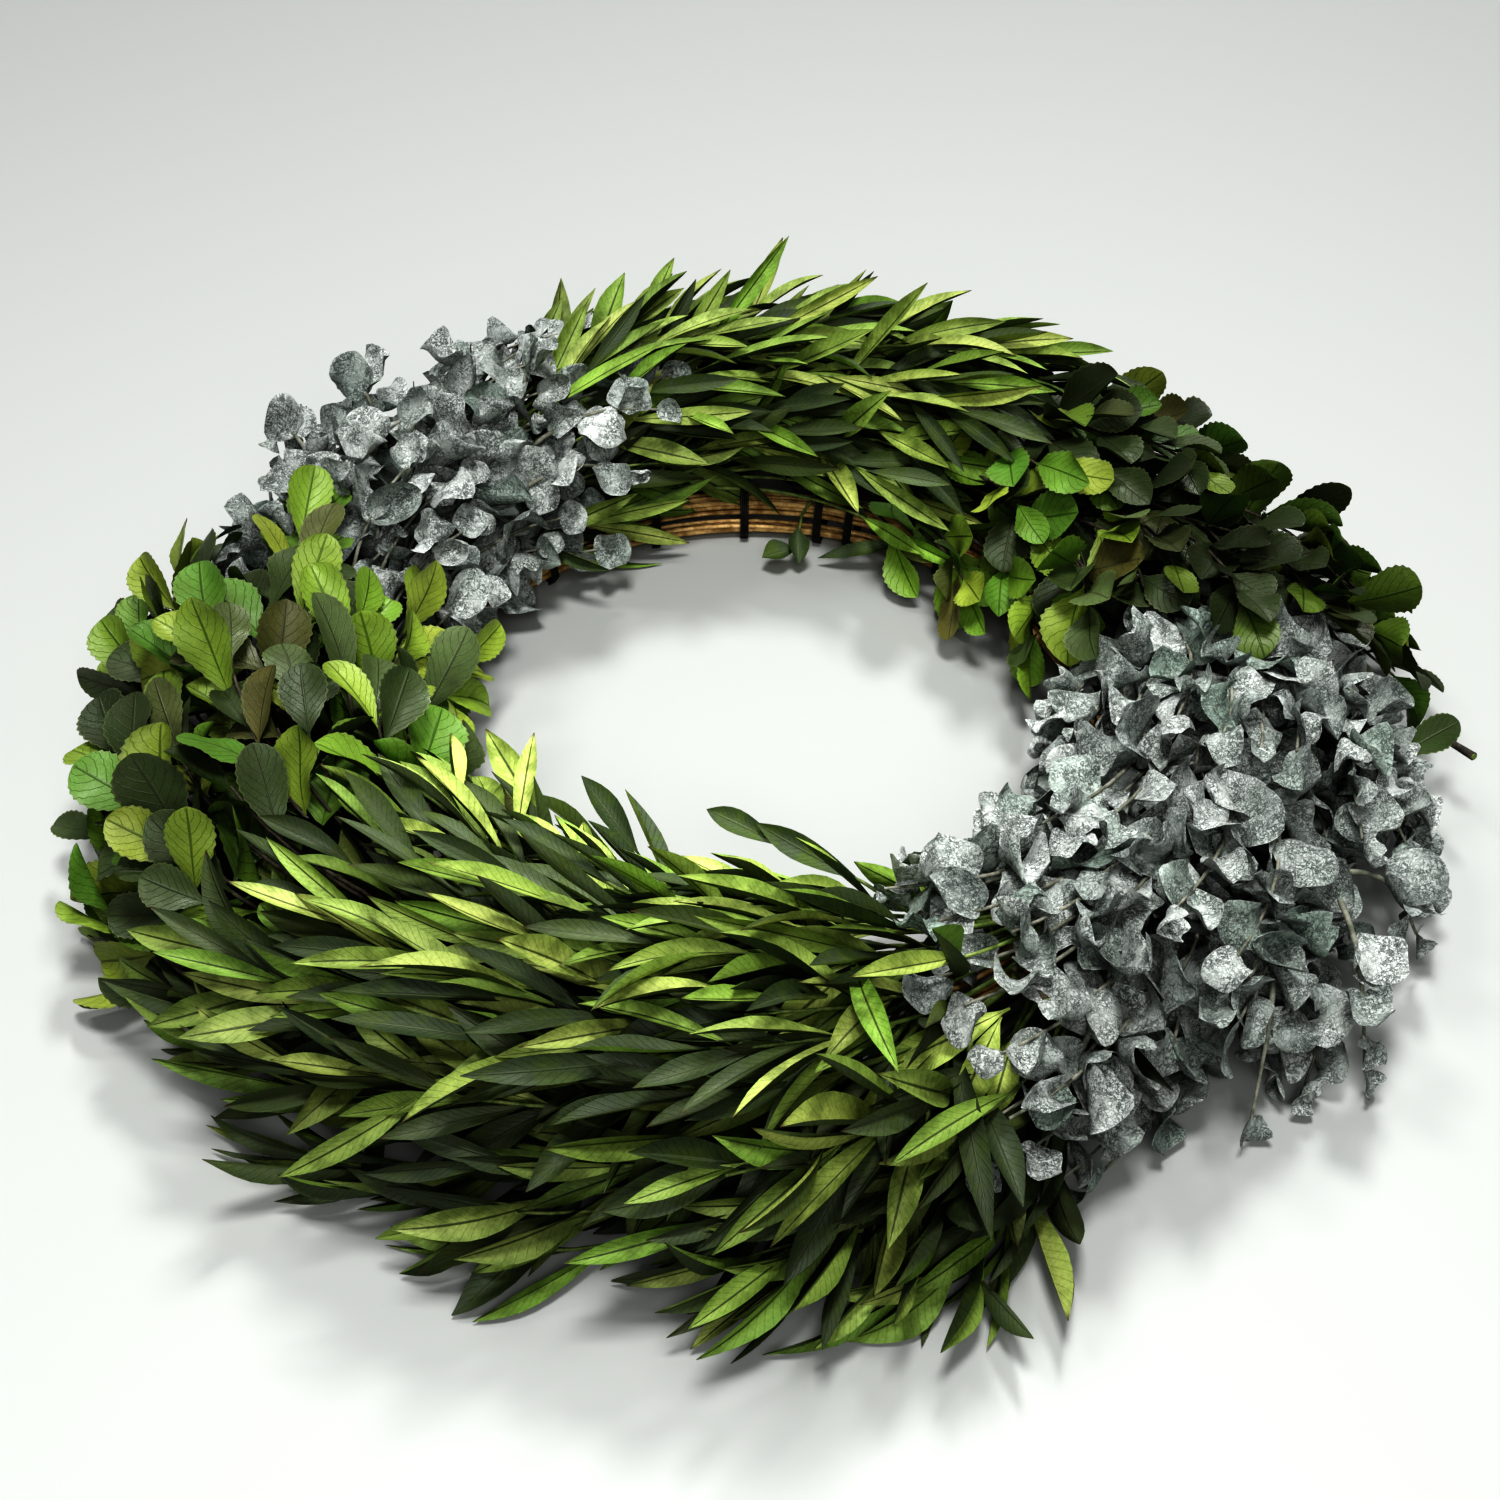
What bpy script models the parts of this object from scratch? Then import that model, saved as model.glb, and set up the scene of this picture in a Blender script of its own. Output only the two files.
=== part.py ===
"""Dried wreath of eucalyptus, narrow leaved and broad leaved sprays, bound on a ring of twigs.

Metres, +Z up. The wreath lies on the plane z = 0. Sprays run clockwise seen from above: each bunch is
bound to the twig ring at its foot, and its tips cover the foot of the next bunch.
"""
import math
import random

import bmesh
import bpy
from mathutils import Vector
from mathutils.bvhtree import BVHTree

# Ring and ties
CENTRE = Vector((-0.0137, 0.0112, 0.0))
TWIG_RING_R = 0.165
TWIG_R = 0.0064
RING_STEPS = 32
TWIG_PLACES = ((0.0062, 0.0079), (0.0, 0.0179), (-0.0062, 0.0079))
TWIG_CORNERS = ((-90, -35, 15, 60), (5, 65, 115, 175), (120, 165, 215, 270))
TIE_WIRE_R = 0.0008
TIE_PATH = (
    (0.0110, 0.0005), (0.0152, 0.0070), (0.0122, 0.0200), (0.0040, 0.0299),
    (-0.0040, 0.0299), (-0.0122, 0.0200), (-0.0152, 0.0070), (-0.0110, 0.0005),
)
EXTRA_TIES = (91.0, 71.0)

# Sprays: distances are out from the middle line of the leaf ring and up from the surface
LEAF_RING_R = 0.210
FOOT_ACROSS = TWIG_RING_R - LEAF_RING_R
FOOT_HEIGHT = 0.0259
STEM_R = 0.0015
STEM_STEPS = 5
BLADE = 0.0008
GAP = 0.0005
CORNER_SWELL = 1.3
LOW = 0.0012
CORE_HEIGHT = 0.030
BARE_FOOT = 0.042
CROWDED = (0.0008, 0.0007, 0.0009, 0.0006, 0.00065, 0.00055, 0.0005, 0.0004, 0.0003, 0.0002, 0.0)

# Each bunch: name, kind, angle of its foot in degrees, how far out its lowest leaves reach from the
# wreath's axis, how far in its inner stem stands, and its length along the ring.
BUNCHES = (
    ("lance_front_right", "lance", 319.0, 0.302, -0.058, 0.185),
    ("lance_front", "lance", 295.0, 0.298, -0.060, 0.190),
    ("lance_front_left", "lance", 270.0, 0.298, -0.060, 0.190),
    ("broad_left_front", "broad", 243.0, 0.304, -0.060, 0.170),
    ("broad_left_back", "broad", 219.0, 0.302, -0.060, 0.170),
    ("eucalyptus_left", "round", 194.0, 0.298, -0.058, 0.180),
    ("eucalyptus_back_left", "round", 168.0, 0.290, -0.050, 0.180),
    ("lance_back_left", "lance", 150.0, 0.278, -0.042, 0.185),
    ("lance_back", "lance", 130.0, 0.278, -0.042, 0.190),
    ("lance_back_right", "lance", 108.0, 0.285, -0.046, 0.190),
    ("broad_back_right", "broad", 77.0, 0.300, -0.056, 0.165),
    ("broad_right", "broad", 52.0, 0.322, -0.058, 0.170),
    ("eucalyptus_right", "round", 29.0, 0.312, -0.058, 0.180),
    ("eucalyptus_front_right", "round", 4.0, 0.305, -0.060, 0.185),
    ("eucalyptus_front", "round", 339.0, 0.290, -0.058, 0.180),
)
# Stems of a bunch: the tip's share of the way from the middle line to the outer reach, or inward for a
# negative share, its height, and its share of the bunch's length. The first rises to the crest and the
# others branch from it.
STEM_PLAN = ((0.00, 0.083, 1.00), (-1.0, 0.064, 0.92), (0.74, 0.060, 0.98), (1.0, 0.024, 0.90))
# Short sprays that fan out over the surface: bunch, share of the reach, height and share of length
FANS = {
    "lance_front_right": (1.05, 0.014, 0.52),
    "lance_front": (1.0, 0.016, 0.50),
    "eucalyptus_front_right": (1.0, 0.012, 0.55),
}

# Leaves of each kind: pitch along the stem, length and width at the foot end, and at the tip of the
# spray, lean off the stem in degrees, and colour with roughness.
PITCH = {"lance": 0.0125, "broad": 0.0085, "round": 0.0095}
SIZE = {
    "lance": ((0.062, 0.0135), (0.048, 0.0115)),
    "broad": ((0.043, 0.0270), (0.033, 0.0210)),
    "round": ((0.031, 0.0300), (0.019, 0.0170)),
}
OUTLINE = {
    "lance": ((0.0, 0.0), (0.30, 0.95), (0.70, 0.84), (1.0, 0.0)),
    "broad": ((0.0, 0.0), (0.45, 0.92), (0.82, 0.84), (1.0, 0.0)),
    "round": ((0.0, 0.0), (0.28, 0.84), (0.66, 1.0), (0.96, 0.48)),
}
LEAN = {"lance": (46, 20), "broad": (62, 34), "round": (66, 42)}
LEAVES_PER_STEM = {"lance": (7, 6, 6, 5, 5), "broad": (7, 6, 6, 5, 5), "round": (6, 6, 5, 5, 5)}
COLOUR = {
    "lance": ((0.24, 0.30, 0.10), 0.62),
    "broad": ((0.09, 0.15, 0.04), 0.50),
    "round": ((0.33, 0.38, 0.34), 0.75),
    "twig": ((0.36, 0.22, 0.10), 0.80),
    "tie": ((0.03, 0.025, 0.02), 0.60),
}


def material(name, key):
    """Give a Principled material its colour and roughness."""
    colour, roughness = COLOUR[key]
    made = bpy.data.materials.new(name)
    made.use_nodes = True
    shader = made.node_tree.nodes["Principled BSDF"]
    shader.inputs["Base Color"].default_value = (*colour, 1.0)
    shader.inputs["Roughness"].default_value = roughness
    made.diffuse_color = (*colour, 1.0)
    return made


def ring_point(angle, across, height):
    """Point at an angle in degrees, out from the middle line of the leaf ring, at a height."""
    turn = math.radians(angle)
    reach = LEAF_RING_R + across
    return CENTRE + Vector((reach * math.cos(turn), reach * math.sin(turn), height))


def lifted(point):
    """Bend a point that would go under the surface so that it lies just above it."""
    if point.z >= 0.006:
        return point
    rise = 0.006 - LOW
    return Vector((point.x, point.y, LOW + rise * math.exp((point.z - 0.006) / rise)))


def wire(name, points, radius, taper=1.0, closed=False, tilt=0.0):
    """Make a four-sided mesh tube from a bevelled polyline."""
    data = bpy.data.curves.new(name, "CURVE")
    data.dimensions = "3D"
    data.bevel_depth = radius
    data.bevel_resolution = 0
    data.use_fill_caps = not closed
    spline = data.splines.new("POLY")
    spline.points.add(len(points) - 1)
    for i, point in enumerate(points):
        spline.points[i].co = (*point, 1.0)
        spline.points[i].radius = 1.0 + (taper - 1.0) * i / (len(points) - 1)
        spline.points[i].tilt = tilt
    spline.use_cyclic_u = closed
    curve = bpy.data.objects.new(name + "_line", data)
    bpy.context.collection.objects.link(curve)
    evaluated = curve.evaluated_get(bpy.context.evaluated_depsgraph_get())
    mesh = bpy.data.meshes.new_from_object(evaluated)
    bpy.data.objects.remove(curve)
    bm = bmesh.new()
    bm.from_mesh(mesh)
    bmesh.ops.remove_doubles(bm, verts=bm.verts, dist=0.00001)
    bmesh.ops.triangulate(bm, faces=bm.faces)
    bmesh.ops.recalc_face_normals(bm, faces=bm.faces)
    bm.to_mesh(mesh)
    bm.free()
    mesh.name = name
    return mesh


def tree_of(bm):
    """Search tree and box of a bmesh, for telling whether two pieces touch."""
    points = [v.co.copy() for v in bm.verts]
    tree = BVHTree.FromBMesh(bm)
    low = Vector([min(p[i] for p in points) for i in range(3)])
    high = Vector([max(p[i] for p in points) for i in range(3)])
    return tree, low, high


def touches(one, other):
    """Whether two search trees with boxes cross."""
    if any(one[1][i] > other[2][i] or other[1][i] > one[2][i] for i in range(3)):
        return False
    return bool(one[0].overlap(other[0]))


def swollen(mesh, by):
    """Search tree of a closed mesh grown by a distance."""
    bm = bmesh.new()
    bm.from_mesh(mesh)
    bm.normal_update()
    for vert in bm.verts:
        vert.co += vert.normal * by * CORNER_SWELL
    found = tree_of(bm)
    bm.free()
    return found


def stem_points(foot, reach, inner, length, plan):
    """Middle line of a stem, from its foot on the ring up into the spray and along it."""
    share, top, part = plan
    tip_across = share * (reach - LEAF_RING_R - 0.026 if share > 0 else -inner)
    points = []
    for i in range(STEM_STEPS + 1):
        t = i / STEM_STEPS
        grow = 1.0 - (1.0 - t) ** 1.8
        across = FOOT_ACROSS * (1 - grow) + tip_across * (0.7 * grow + 0.3 * t * t)
        height = FOOT_HEIGHT * (1 - grow) + top * grow
        angle = foot - math.degrees(length * part * t / LEAF_RING_R)
        points.append(lifted(ring_point(angle, across, height)))
    return points


def along(points, distance):
    """Point and direction at a distance along a polyline."""
    for a, b in zip(points, points[1:]):
        step = (b - a).length
        if distance <= step or b is points[-1]:
            return a.lerp(b, min(1.0, distance / step)), (b - a).normalized()
        distance -= step
    return points[-1], (points[-1] - points[-2]).normalized()


def leaves_on(kind, points, seed):
    """Leaves of one stem from the tip down: root, direction, face, length, width, arch and fold."""
    rng = random.Random(seed)
    total = sum((b - a).length for a, b in zip(points, points[1:]))
    leaves = []
    reach = total - 0.001
    turn = rng.uniform(0, 360)
    while reach > BARE_FOOT:
        share = (total - reach) / total
        root, tangent = along(points, reach)
        here = math.degrees(math.atan2(root.y - CENTRE.y, root.x - CENTRE.x))
        from_middle = root - ring_point(here, 0.0, CORE_HEIGHT)
        out = (from_middle - tangent * from_middle.dot(tangent)).normalized()
        side = tangent.cross(out)
        first, last = LEAN[kind]
        mix = min(1.0, share * 2.2)
        lean = math.radians(last + (first - last) * mix + rng.uniform(-9, 9))
        if kind == "lance":
            around = (1 if len(leaves) % 2 else -1) * rng.uniform(25, 95)
        elif kind == "round":
            around = (len(leaves) % 2) * 180 + (90 if len(leaves) // 2 % 2 else 0) + turn
            around += rng.uniform(-22, 22)
        else:
            around = turn + len(leaves) * 137.5 + rng.uniform(-15, 15)
        around = (around + 180) % 360 - 180
        if abs(around) > 110:
            around = math.copysign(rng.uniform(70, 110), around)
        if not leaves:
            lean = math.radians(8)
        spoke = out * math.cos(math.radians(around)) + side * math.sin(math.radians(around))
        direction = (tangent * math.cos(lean) + spoke * math.sin(lean)).normalized()
        big, small = SIZE[kind]
        scale = rng.uniform(0.86, 1.1)
        length = (small[0] + (big[0] - small[0]) * mix) * scale
        width = (small[1] + (big[1] - small[1]) * mix) * scale * rng.uniform(0.92, 1.08)
        face = tangent * rng.uniform(0.1, 0.8) + out * rng.uniform(0.5, 1.0) + Vector((0, 0, 0.35))
        face += side * rng.uniform(-0.5, 0.5)
        drop = root.z + direction.z * length
        if drop < 0.004:
            direction.z += (0.004 - drop) / length
            direction.normalize()
        face = (face - direction * face.dot(direction)).normalized()
        arch, fold = rng.uniform(0.02, 0.14), rng.uniform(0.12, 0.42)
        leaves.append((root, direction, face, length, width, arch, fold))
        pairing = 1.0 if kind != "round" else 2.0 if len(leaves) % 2 else 0.25
        reach -= PITCH[kind] * rng.uniform(0.85, 1.15) * pairing
    return leaves


def blade(kind, leaf, grow=0.0):
    """Open surface of one leaf: a fan shaped to the outline, folded on its midrib."""
    root, direction, face, length, width, arch, fold = leaf
    side = direction.cross(face)
    half = OUTLINE[kind]
    rim = list(half) + [(s, -w) for s, w in reversed(half) if w]
    bm = bmesh.new()
    bmesh.ops.create_circle(bm, cap_ends=True, cap_tris=True, segments=len(rim), radius=1.0)
    bm.verts.ensure_lookup_table()
    middle = [v for v in bm.verts if v.co.length < 0.5]
    around = sorted((v for v in bm.verts if v.co.length > 0.5), key=lambda v: math.atan2(v.co.y, v.co.x))
    places = list(zip(around, rim)) + [(v, (0.52, 0.0)) for v in middle]
    for v, (s, w) in places:
        rise = fold * abs(w) * width / 2 - arch * length * s * s
        point = root + direction * (length * s + grow * (s - 0.3)) + face * rise
        v.co = lifted(point + side * w * (width / 2 + grow))
    bmesh.ops.recalc_face_normals(bm, faces=bm.faces)
    return bm


def blade_tree(kind, leaf, margin):
    """Search tree of a leaf with its thickness and a margin round it."""
    bm = blade(kind, leaf, margin)
    bm.normal_update()
    half = BLADE / 2 + margin
    shell = bmesh.new()
    upper = {v: shell.verts.new(v.co + v.normal * half) for v in bm.verts}
    lower = {v: shell.verts.new(v.co - v.normal * half) for v in bm.verts}
    for f in bm.faces:
        shell.faces.new([upper[v] for v in f.verts])
        shell.faces.new([lower[v] for v in reversed(f.verts)])
    for e in bm.edges:
        if e.is_boundary:
            a, b = e.verts
            shell.faces.new([upper[a], upper[b], lower[b], lower[a]])
    found = tree_of(shell)
    shell.free()
    bm.free()
    return found


def main_body(mesh):
    """Keep the largest connected body of a mesh: scraps go, and sealed hollows are filled."""
    bm = bmesh.new()
    bm.from_mesh(mesh)
    unseen, bodies = set(bm.verts), []
    while unseen:
        front = [unseen.pop()]
        body = list(front)
        while front:
            vert = front.pop()
            for near in (edge.other_vert(vert) for edge in vert.link_edges):
                if near in unseen:
                    unseen.remove(near)
                    front.append(near)
                    body.append(near)
        bodies.append(body)
    bodies.sort(key=len, reverse=True)
    for body in bodies[1:]:
        bmesh.ops.delete(bm, geom=body, context="VERTS")
    spare = [v for v in bm.verts if len(v.link_edges) == 2 and all(len(f.verts) > 3 for f in v.link_faces)]
    bmesh.ops.dissolve_verts(bm, verts=spare)
    bm.to_mesh(mesh)
    bm.free()
    return [len(body) for body in bodies[1:]]


def crossing(bm):
    """Where two triangles of a mesh cross, or None."""
    bm.faces.ensure_lookup_table()
    tree = BVHTree.FromBMesh(bm)
    for i, j in tree.overlap(tree):
        if i < j and not set(bm.faces[i].verts) & set(bm.faces[j].verts):
            return bm.faces[i].calc_center_median()
    return None


def in_triangles(mesh):
    """Copy of a mesh as a bmesh with every face split into triangles."""
    mesh.calc_loop_triangles()
    bm = bmesh.new()
    points = [bm.verts.new(v.co) for v in mesh.vertices]
    for corner in mesh.loop_triangles:
        bm.faces.new([points[i] for i in corner.vertices])
    return bm


def may_merge(a, b, spot):
    """Whether two joined points can become one without a pinch or a face turned over."""
    near = {e.other_vert(a) for e in a.link_edges} & {e.other_vert(b) for e in b.link_edges}
    if len(near) != 2:
        return False
    for face in set(a.link_faces) ^ set(b.link_faces):
        corners = [spot if v in (a, b) else v.co for v in face.verts]
        turned = (corners[1] - corners[0]).cross(corners[2] - corners[0])
        if turned.length < 1e-10 or turned.normalized().dot(face.normal) < 0.3:
            return False
    return True


def thin_out(mesh):
    """Merge the points that crowd round the leaf roots. Where the body still crosses itself, say where."""
    for limit in CROWDED:
        bm = in_triangles(mesh)
        bm.normal_update()
        going = limit > 0
        while going:
            going = False
            short = [e for e in bm.edges if e.calc_length() < limit]
            for edge in sorted(short, key=lambda e: e.calc_length()):
                if not edge.is_valid:
                    continue
                a, b = edge.verts
                spot = (a.co + b.co) / 2
                if may_merge(a, b, spot):
                    bmesh.ops.pointmerge(bm, verts=[a, b], merge_co=spot)
                    going = True
            bm.normal_update()
        shut = all(e.is_manifold for e in bm.edges) and all(v.is_manifold for v in bm.verts)
        crossed = crossing(bm)
        if shut and not crossed:
            bm.to_mesh(mesh)
        bm.free()
        if shut and not crossed:
            return None
    return crossed


def leaf_mesh(kind, leaf):
    """Mesh of one leaf's open surface."""
    bm = blade(kind, leaf)
    mesh = bpy.data.meshes.new("leaf")
    bm.to_mesh(mesh)
    bm.free()
    return mesh


def union_of(stem_meshes, leaf_meshes):
    """Join stems and thickened leaves into one mesh by a Boolean union on a collection."""
    body = bpy.data.objects.new("body", stem_meshes[0])
    guests = bpy.data.collections.new("repeats")
    for holder in (body, guests):
        home = bpy.context.scene.collection
        (home.objects if holder is body else home.children).link(holder)
    for mesh in stem_meshes[1:] + leaf_meshes:
        guest = bpy.data.objects.new("repeat", mesh)
        guests.objects.link(guest)
        if mesh in leaf_meshes:
            shell = guest.modifiers.new("blade", "SOLIDIFY")
            shell.thickness = BLADE
            shell.offset = 0.0
    join = body.modifiers.new("union", "BOOLEAN")
    join.operation = "UNION"
    join.operand_type = "COLLECTION"
    join.collection = guests
    join.solver = "MANIFOLD"
    joined = bpy.data.meshes.new_from_object(body.evaluated_get(bpy.context.evaluated_depsgraph_get()))
    for guest in list(guests.objects) + [body]:
        bpy.data.objects.remove(guest)
    bpy.data.collections.remove(guests)
    return joined


for old in list(bpy.data.objects):
    bpy.data.objects.remove(old)
wreath = bpy.data.collections.new("eucalyptus_wreath")
bpy.context.scene.collection.children.link(wreath)
finishes = {
    "lance": material("narrow_leaf", "lance"),
    "broad": material("broad_leaf", "broad"),
    "round": material("eucalyptus_leaf", "round"),
    "twig": material("twig_bark", "twig"),
    "tie": material("dark_tie", "tie"),
}

# Twig ring: the outline of three twigs pressed side by side, turned round the wreath's axis
outline = []
for (across, height), turns in zip(TWIG_PLACES, TWIG_CORNERS):
    for turn in map(math.radians, turns):
        outline.append((TWIG_RING_R + across + TWIG_R * math.cos(turn), height + TWIG_R * math.sin(turn)))
profile = bmesh.new()
corners = [profile.verts.new((x, 0.0, z)) for x, z in reversed(outline)]
for a, b in zip(corners, corners[1:] + corners[:1]):
    profile.edges.new((a, b))
ring_mesh = bpy.data.meshes.new("twig_ring")
profile.to_mesh(ring_mesh)
profile.free()
ring = bpy.data.objects.new("twig_ring", ring_mesh)
ring.location = CENTRE
wreath.objects.link(ring)
turned = ring.modifiers.new("turned", "SCREW")
turned.angle = math.radians(360)
turned.steps = turned.render_steps = RING_STEPS
turned.use_merge_vertices = True
turned.merge_threshold = 0.00005
ring_mesh.materials.append(finishes["twig"])
ring_surface = bpy.data.meshes.new_from_object(ring.evaluated_get(bpy.context.evaluated_depsgraph_get()))
ring_surface.transform(ring.matrix_basis)
fixed = [swollen(ring_surface, 0.0)]

# Ties: one round the ring and the foot of each bunch
tie_angles = [bunch[2] for bunch in BUNCHES] + list(EXTRA_TIES)
for number, angle in enumerate(tie_angles, 1):
    loop = [ring_point(angle, FOOT_ACROSS + x, z) for x, z in TIE_PATH]
    mesh = wire(f"tie_{number:02d}", loop, TIE_WIRE_R, closed=True, tilt=math.radians(45))
    for v in mesh.vertices:
        v.co.z = max(v.co.z, 0.0)
    tie = bpy.data.objects.new(f"tie_{number:02d}", mesh)
    mesh.materials.append(finishes["tie"])
    wreath.objects.link(tie)
    fixed.append(swollen(mesh, 0.0))

# Stems: the first of a bunch is bound on the ring, the others branch from it
stems, trees = {}, {}
for place, (name, kind, foot, reach, inner, length) in enumerate(BUNCHES):
    stems[name], trees[name] = [], []
    plans = list(STEM_PLAN) + ([FANS[name]] if name in FANS else [])
    for number, (share, top, part) in enumerate(plans):
        rng = random.Random(100 * place + number)
        for attempt in range(60):
            spread = 1 + attempt / 10
            plan = (share + rng.uniform(-0.08, 0.08) * spread, top + rng.uniform(-0.004, 0.004) * spread,
                    part * rng.uniform(0.94, 1.04))
            points = stem_points(foot - 2.0 * number, reach, inner, length, plan)
            if number == 0:
                points.insert(0, ring_point(foot + 5.0, FOOT_ACROSS, FOOT_HEIGHT))
            else:
                points[0] = along(stems[name][0][1], 0.016 + 0.007 * number)[0]
            mesh = wire(f"{name}_stem", points, STEM_R, taper=0.6)
            grown = swollen(mesh, GAP)
            others = fixed + [t for key in trees if key != name for t in trees[key]]
            if not any(touches(grown, other) for other in others):
                stems[name].append((mesh, points))
                trees[name].append(swollen(mesh, 0.0))
                break

# Leaves: taken in turn along every stem, each kept where it stands clear of all the others
chosen = {name: [] for name in stems}
waiting = []
for place, (name, kind, foot, reach, inner, length) in enumerate(BUNCHES):
    for number, (mesh, points) in enumerate(stems[name]):
        leaves = leaves_on(kind, points, 1000 * place + 37 * number + 5)
        wanted = LEAVES_PER_STEM[kind][number]
        step = max(1, round(len(leaves) / wanted))
        ordered = [leaf for start in range(step) for leaf in leaves[start::step]]
        waiting.append([name, kind, number, ordered, wanted])
stem_trees = {name: list(trees[name]) for name in trees}
busy = True
while busy:
    busy = False
    for entry in waiting:
        name, kind, number, ordered, wanted = entry
        while ordered and entry[4] > 0:
            leaf = ordered.pop(0)
            grown = blade_tree(kind, leaf, GAP)
            rivals = fixed + [t for key in trees if key != name for t in trees[key]]
            rivals += [t for j, t in enumerate(stem_trees[name]) if j != number]
            plain = blade_tree(kind, leaf, 0.0)
            if any(touches(grown, rival) for rival in rivals):
                continue
            if any(touches(plain, rival) if (other[1][0] - leaf[0]).length > 0.003 else
                   other[1][1].dot(leaf[1]) > 0.3 for other, rival in chosen[name]):
                continue
            chosen[name].append(((kind, leaf), plain))
            trees[name].append(plain)
            entry[4] -= 1
            busy = True
            break

for name, kind, foot, reach, inner, length in BUNCHES:
    leaves = [leaf for (kind, leaf), tree in chosen[name]]
    crossed = True
    while crossed:
        joined = union_of([mesh for mesh, points in stems[name]], [leaf_mesh(kind, leaf) for leaf in leaves])
        dropped = main_body(joined)
        crossed = thin_out(joined)
        if crossed:
            leaves.remove(min(leaves, key=lambda leaf: (leaf[0] - crossed).length))
    joined.name = name
    joined.materials.clear()
    joined.materials.append(finishes[kind])
    wreath.objects.link(bpy.data.objects.new(name, joined))
    print(name, len(leaves), "leaves,", len(joined.polygons), "triangles, points filled or dropped", dropped)
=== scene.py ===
# %% [markdown]
# # A wreath of dried foliage
# The wreath is a ring of thin twigs with fifteen small bunches tied on it: silvery eucalyptus,
# narrow leaves and broad leaves, two sections of each. Every bunch points the same way round, so its
# tips hide the tied stems of the next one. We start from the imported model, which fixes where each
# bunch, the twigs and the ties are, and give every one of them its fine leaves and finishes.

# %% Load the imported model
import math
import random

import bpy
import numpy as np
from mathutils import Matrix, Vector
from mathutils.bvhtree import BVHTree


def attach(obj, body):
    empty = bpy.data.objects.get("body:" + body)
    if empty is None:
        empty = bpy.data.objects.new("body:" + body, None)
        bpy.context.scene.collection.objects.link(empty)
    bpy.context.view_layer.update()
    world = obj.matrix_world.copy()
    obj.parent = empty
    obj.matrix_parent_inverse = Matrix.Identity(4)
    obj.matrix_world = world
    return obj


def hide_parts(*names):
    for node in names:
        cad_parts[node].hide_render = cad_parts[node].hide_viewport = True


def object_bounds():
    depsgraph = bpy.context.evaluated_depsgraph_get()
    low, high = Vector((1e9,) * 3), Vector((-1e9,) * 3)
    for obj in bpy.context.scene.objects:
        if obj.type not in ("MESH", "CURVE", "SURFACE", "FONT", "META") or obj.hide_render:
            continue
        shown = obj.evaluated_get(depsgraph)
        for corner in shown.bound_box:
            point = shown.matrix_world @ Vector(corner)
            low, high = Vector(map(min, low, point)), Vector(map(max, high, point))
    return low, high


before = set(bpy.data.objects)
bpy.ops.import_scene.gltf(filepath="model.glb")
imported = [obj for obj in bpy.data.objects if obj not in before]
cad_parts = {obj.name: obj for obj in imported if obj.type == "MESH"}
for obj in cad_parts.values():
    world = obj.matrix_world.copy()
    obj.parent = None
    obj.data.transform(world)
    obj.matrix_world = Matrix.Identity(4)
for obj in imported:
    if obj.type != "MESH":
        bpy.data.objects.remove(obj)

solid_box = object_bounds()
print("solids", [round(1000 * (b - a)) for a, b in zip(*solid_box)], "mm;", len(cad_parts), "nodes")

# %% [markdown]
# ## Camera
# The wreath lies on a table and is seen from the front, half way between the side and the top. The
# camera aims at the middle of the twig ring on the table, and a slightly long lens keeps the near
# leaves from looking too large.

# %% Camera
CENTRE = Vector((-0.0137, 0.0112, 0.0))
ELEVATION = math.radians(45)
DISTANCE = 0.85

camera = bpy.data.objects.new("camera", bpy.data.cameras.new("camera"))
camera.data.lens = 44.7
camera.location = CENTRE + DISTANCE * Vector((0, -math.cos(ELEVATION), math.sin(ELEVATION)))
camera.rotation_euler = (math.radians(90) - ELEVATION, 0, 0)
bpy.context.scene.collection.objects.link(camera)
bpy.context.scene.camera = camera
print("camera at", [round(v, 3) for v in camera.location])

# %% [markdown]
# ## Where the stems and leaves grow
# The solids were laid out by a rule, and the fine leaves follow the same rule, so they stand where the
# solid ones do. A bunch starts at its foot on the twig ring. Each of its stems rises from there,
# spreads out or in, and runs along the ring. All distances are in metres.

# %% Layout of the wreath
TWIG_RING_R = 0.165
LEAF_RING_R = 0.210
FOOT_ACROSS = TWIG_RING_R - LEAF_RING_R
FOOT_HEIGHT = 0.0259
# Nothing goes lower than LOW, and heights bend towards it below BEND_BELOW
LOW = 0.0012
BEND_BELOW = 0.006
# Height that the tip of a leaf keeps
TIP_HEIGHT = 0.004
BUNCHES = (
    ("lance_front_right", "lance", 319.0, 0.302, -0.058, 0.185),
    ("lance_front", "lance", 295.0, 0.298, -0.060, 0.190),
    ("lance_front_left", "lance", 270.0, 0.298, -0.060, 0.190),
    ("broad_left_front", "broad", 243.0, 0.304, -0.060, 0.170),
    ("broad_left_back", "broad", 219.0, 0.302, -0.060, 0.170),
    ("eucalyptus_left", "round", 194.0, 0.298, -0.058, 0.180),
    ("eucalyptus_back_left", "round", 168.0, 0.290, -0.050, 0.180),
    ("lance_back_left", "lance", 150.0, 0.278, -0.042, 0.185),
    ("lance_back", "lance", 130.0, 0.278, -0.042, 0.190),
    ("lance_back_right", "lance", 108.0, 0.285, -0.046, 0.190),
    ("broad_back_right", "broad", 77.0, 0.300, -0.056, 0.165),
    ("broad_right", "broad", 52.0, 0.322, -0.058, 0.170),
    ("eucalyptus_right", "round", 29.0, 0.312, -0.058, 0.180),
    ("eucalyptus_front_right", "round", 4.0, 0.305, -0.060, 0.185),
    ("eucalyptus_front", "round", 339.0, 0.290, -0.058, 0.180),
)
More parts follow.
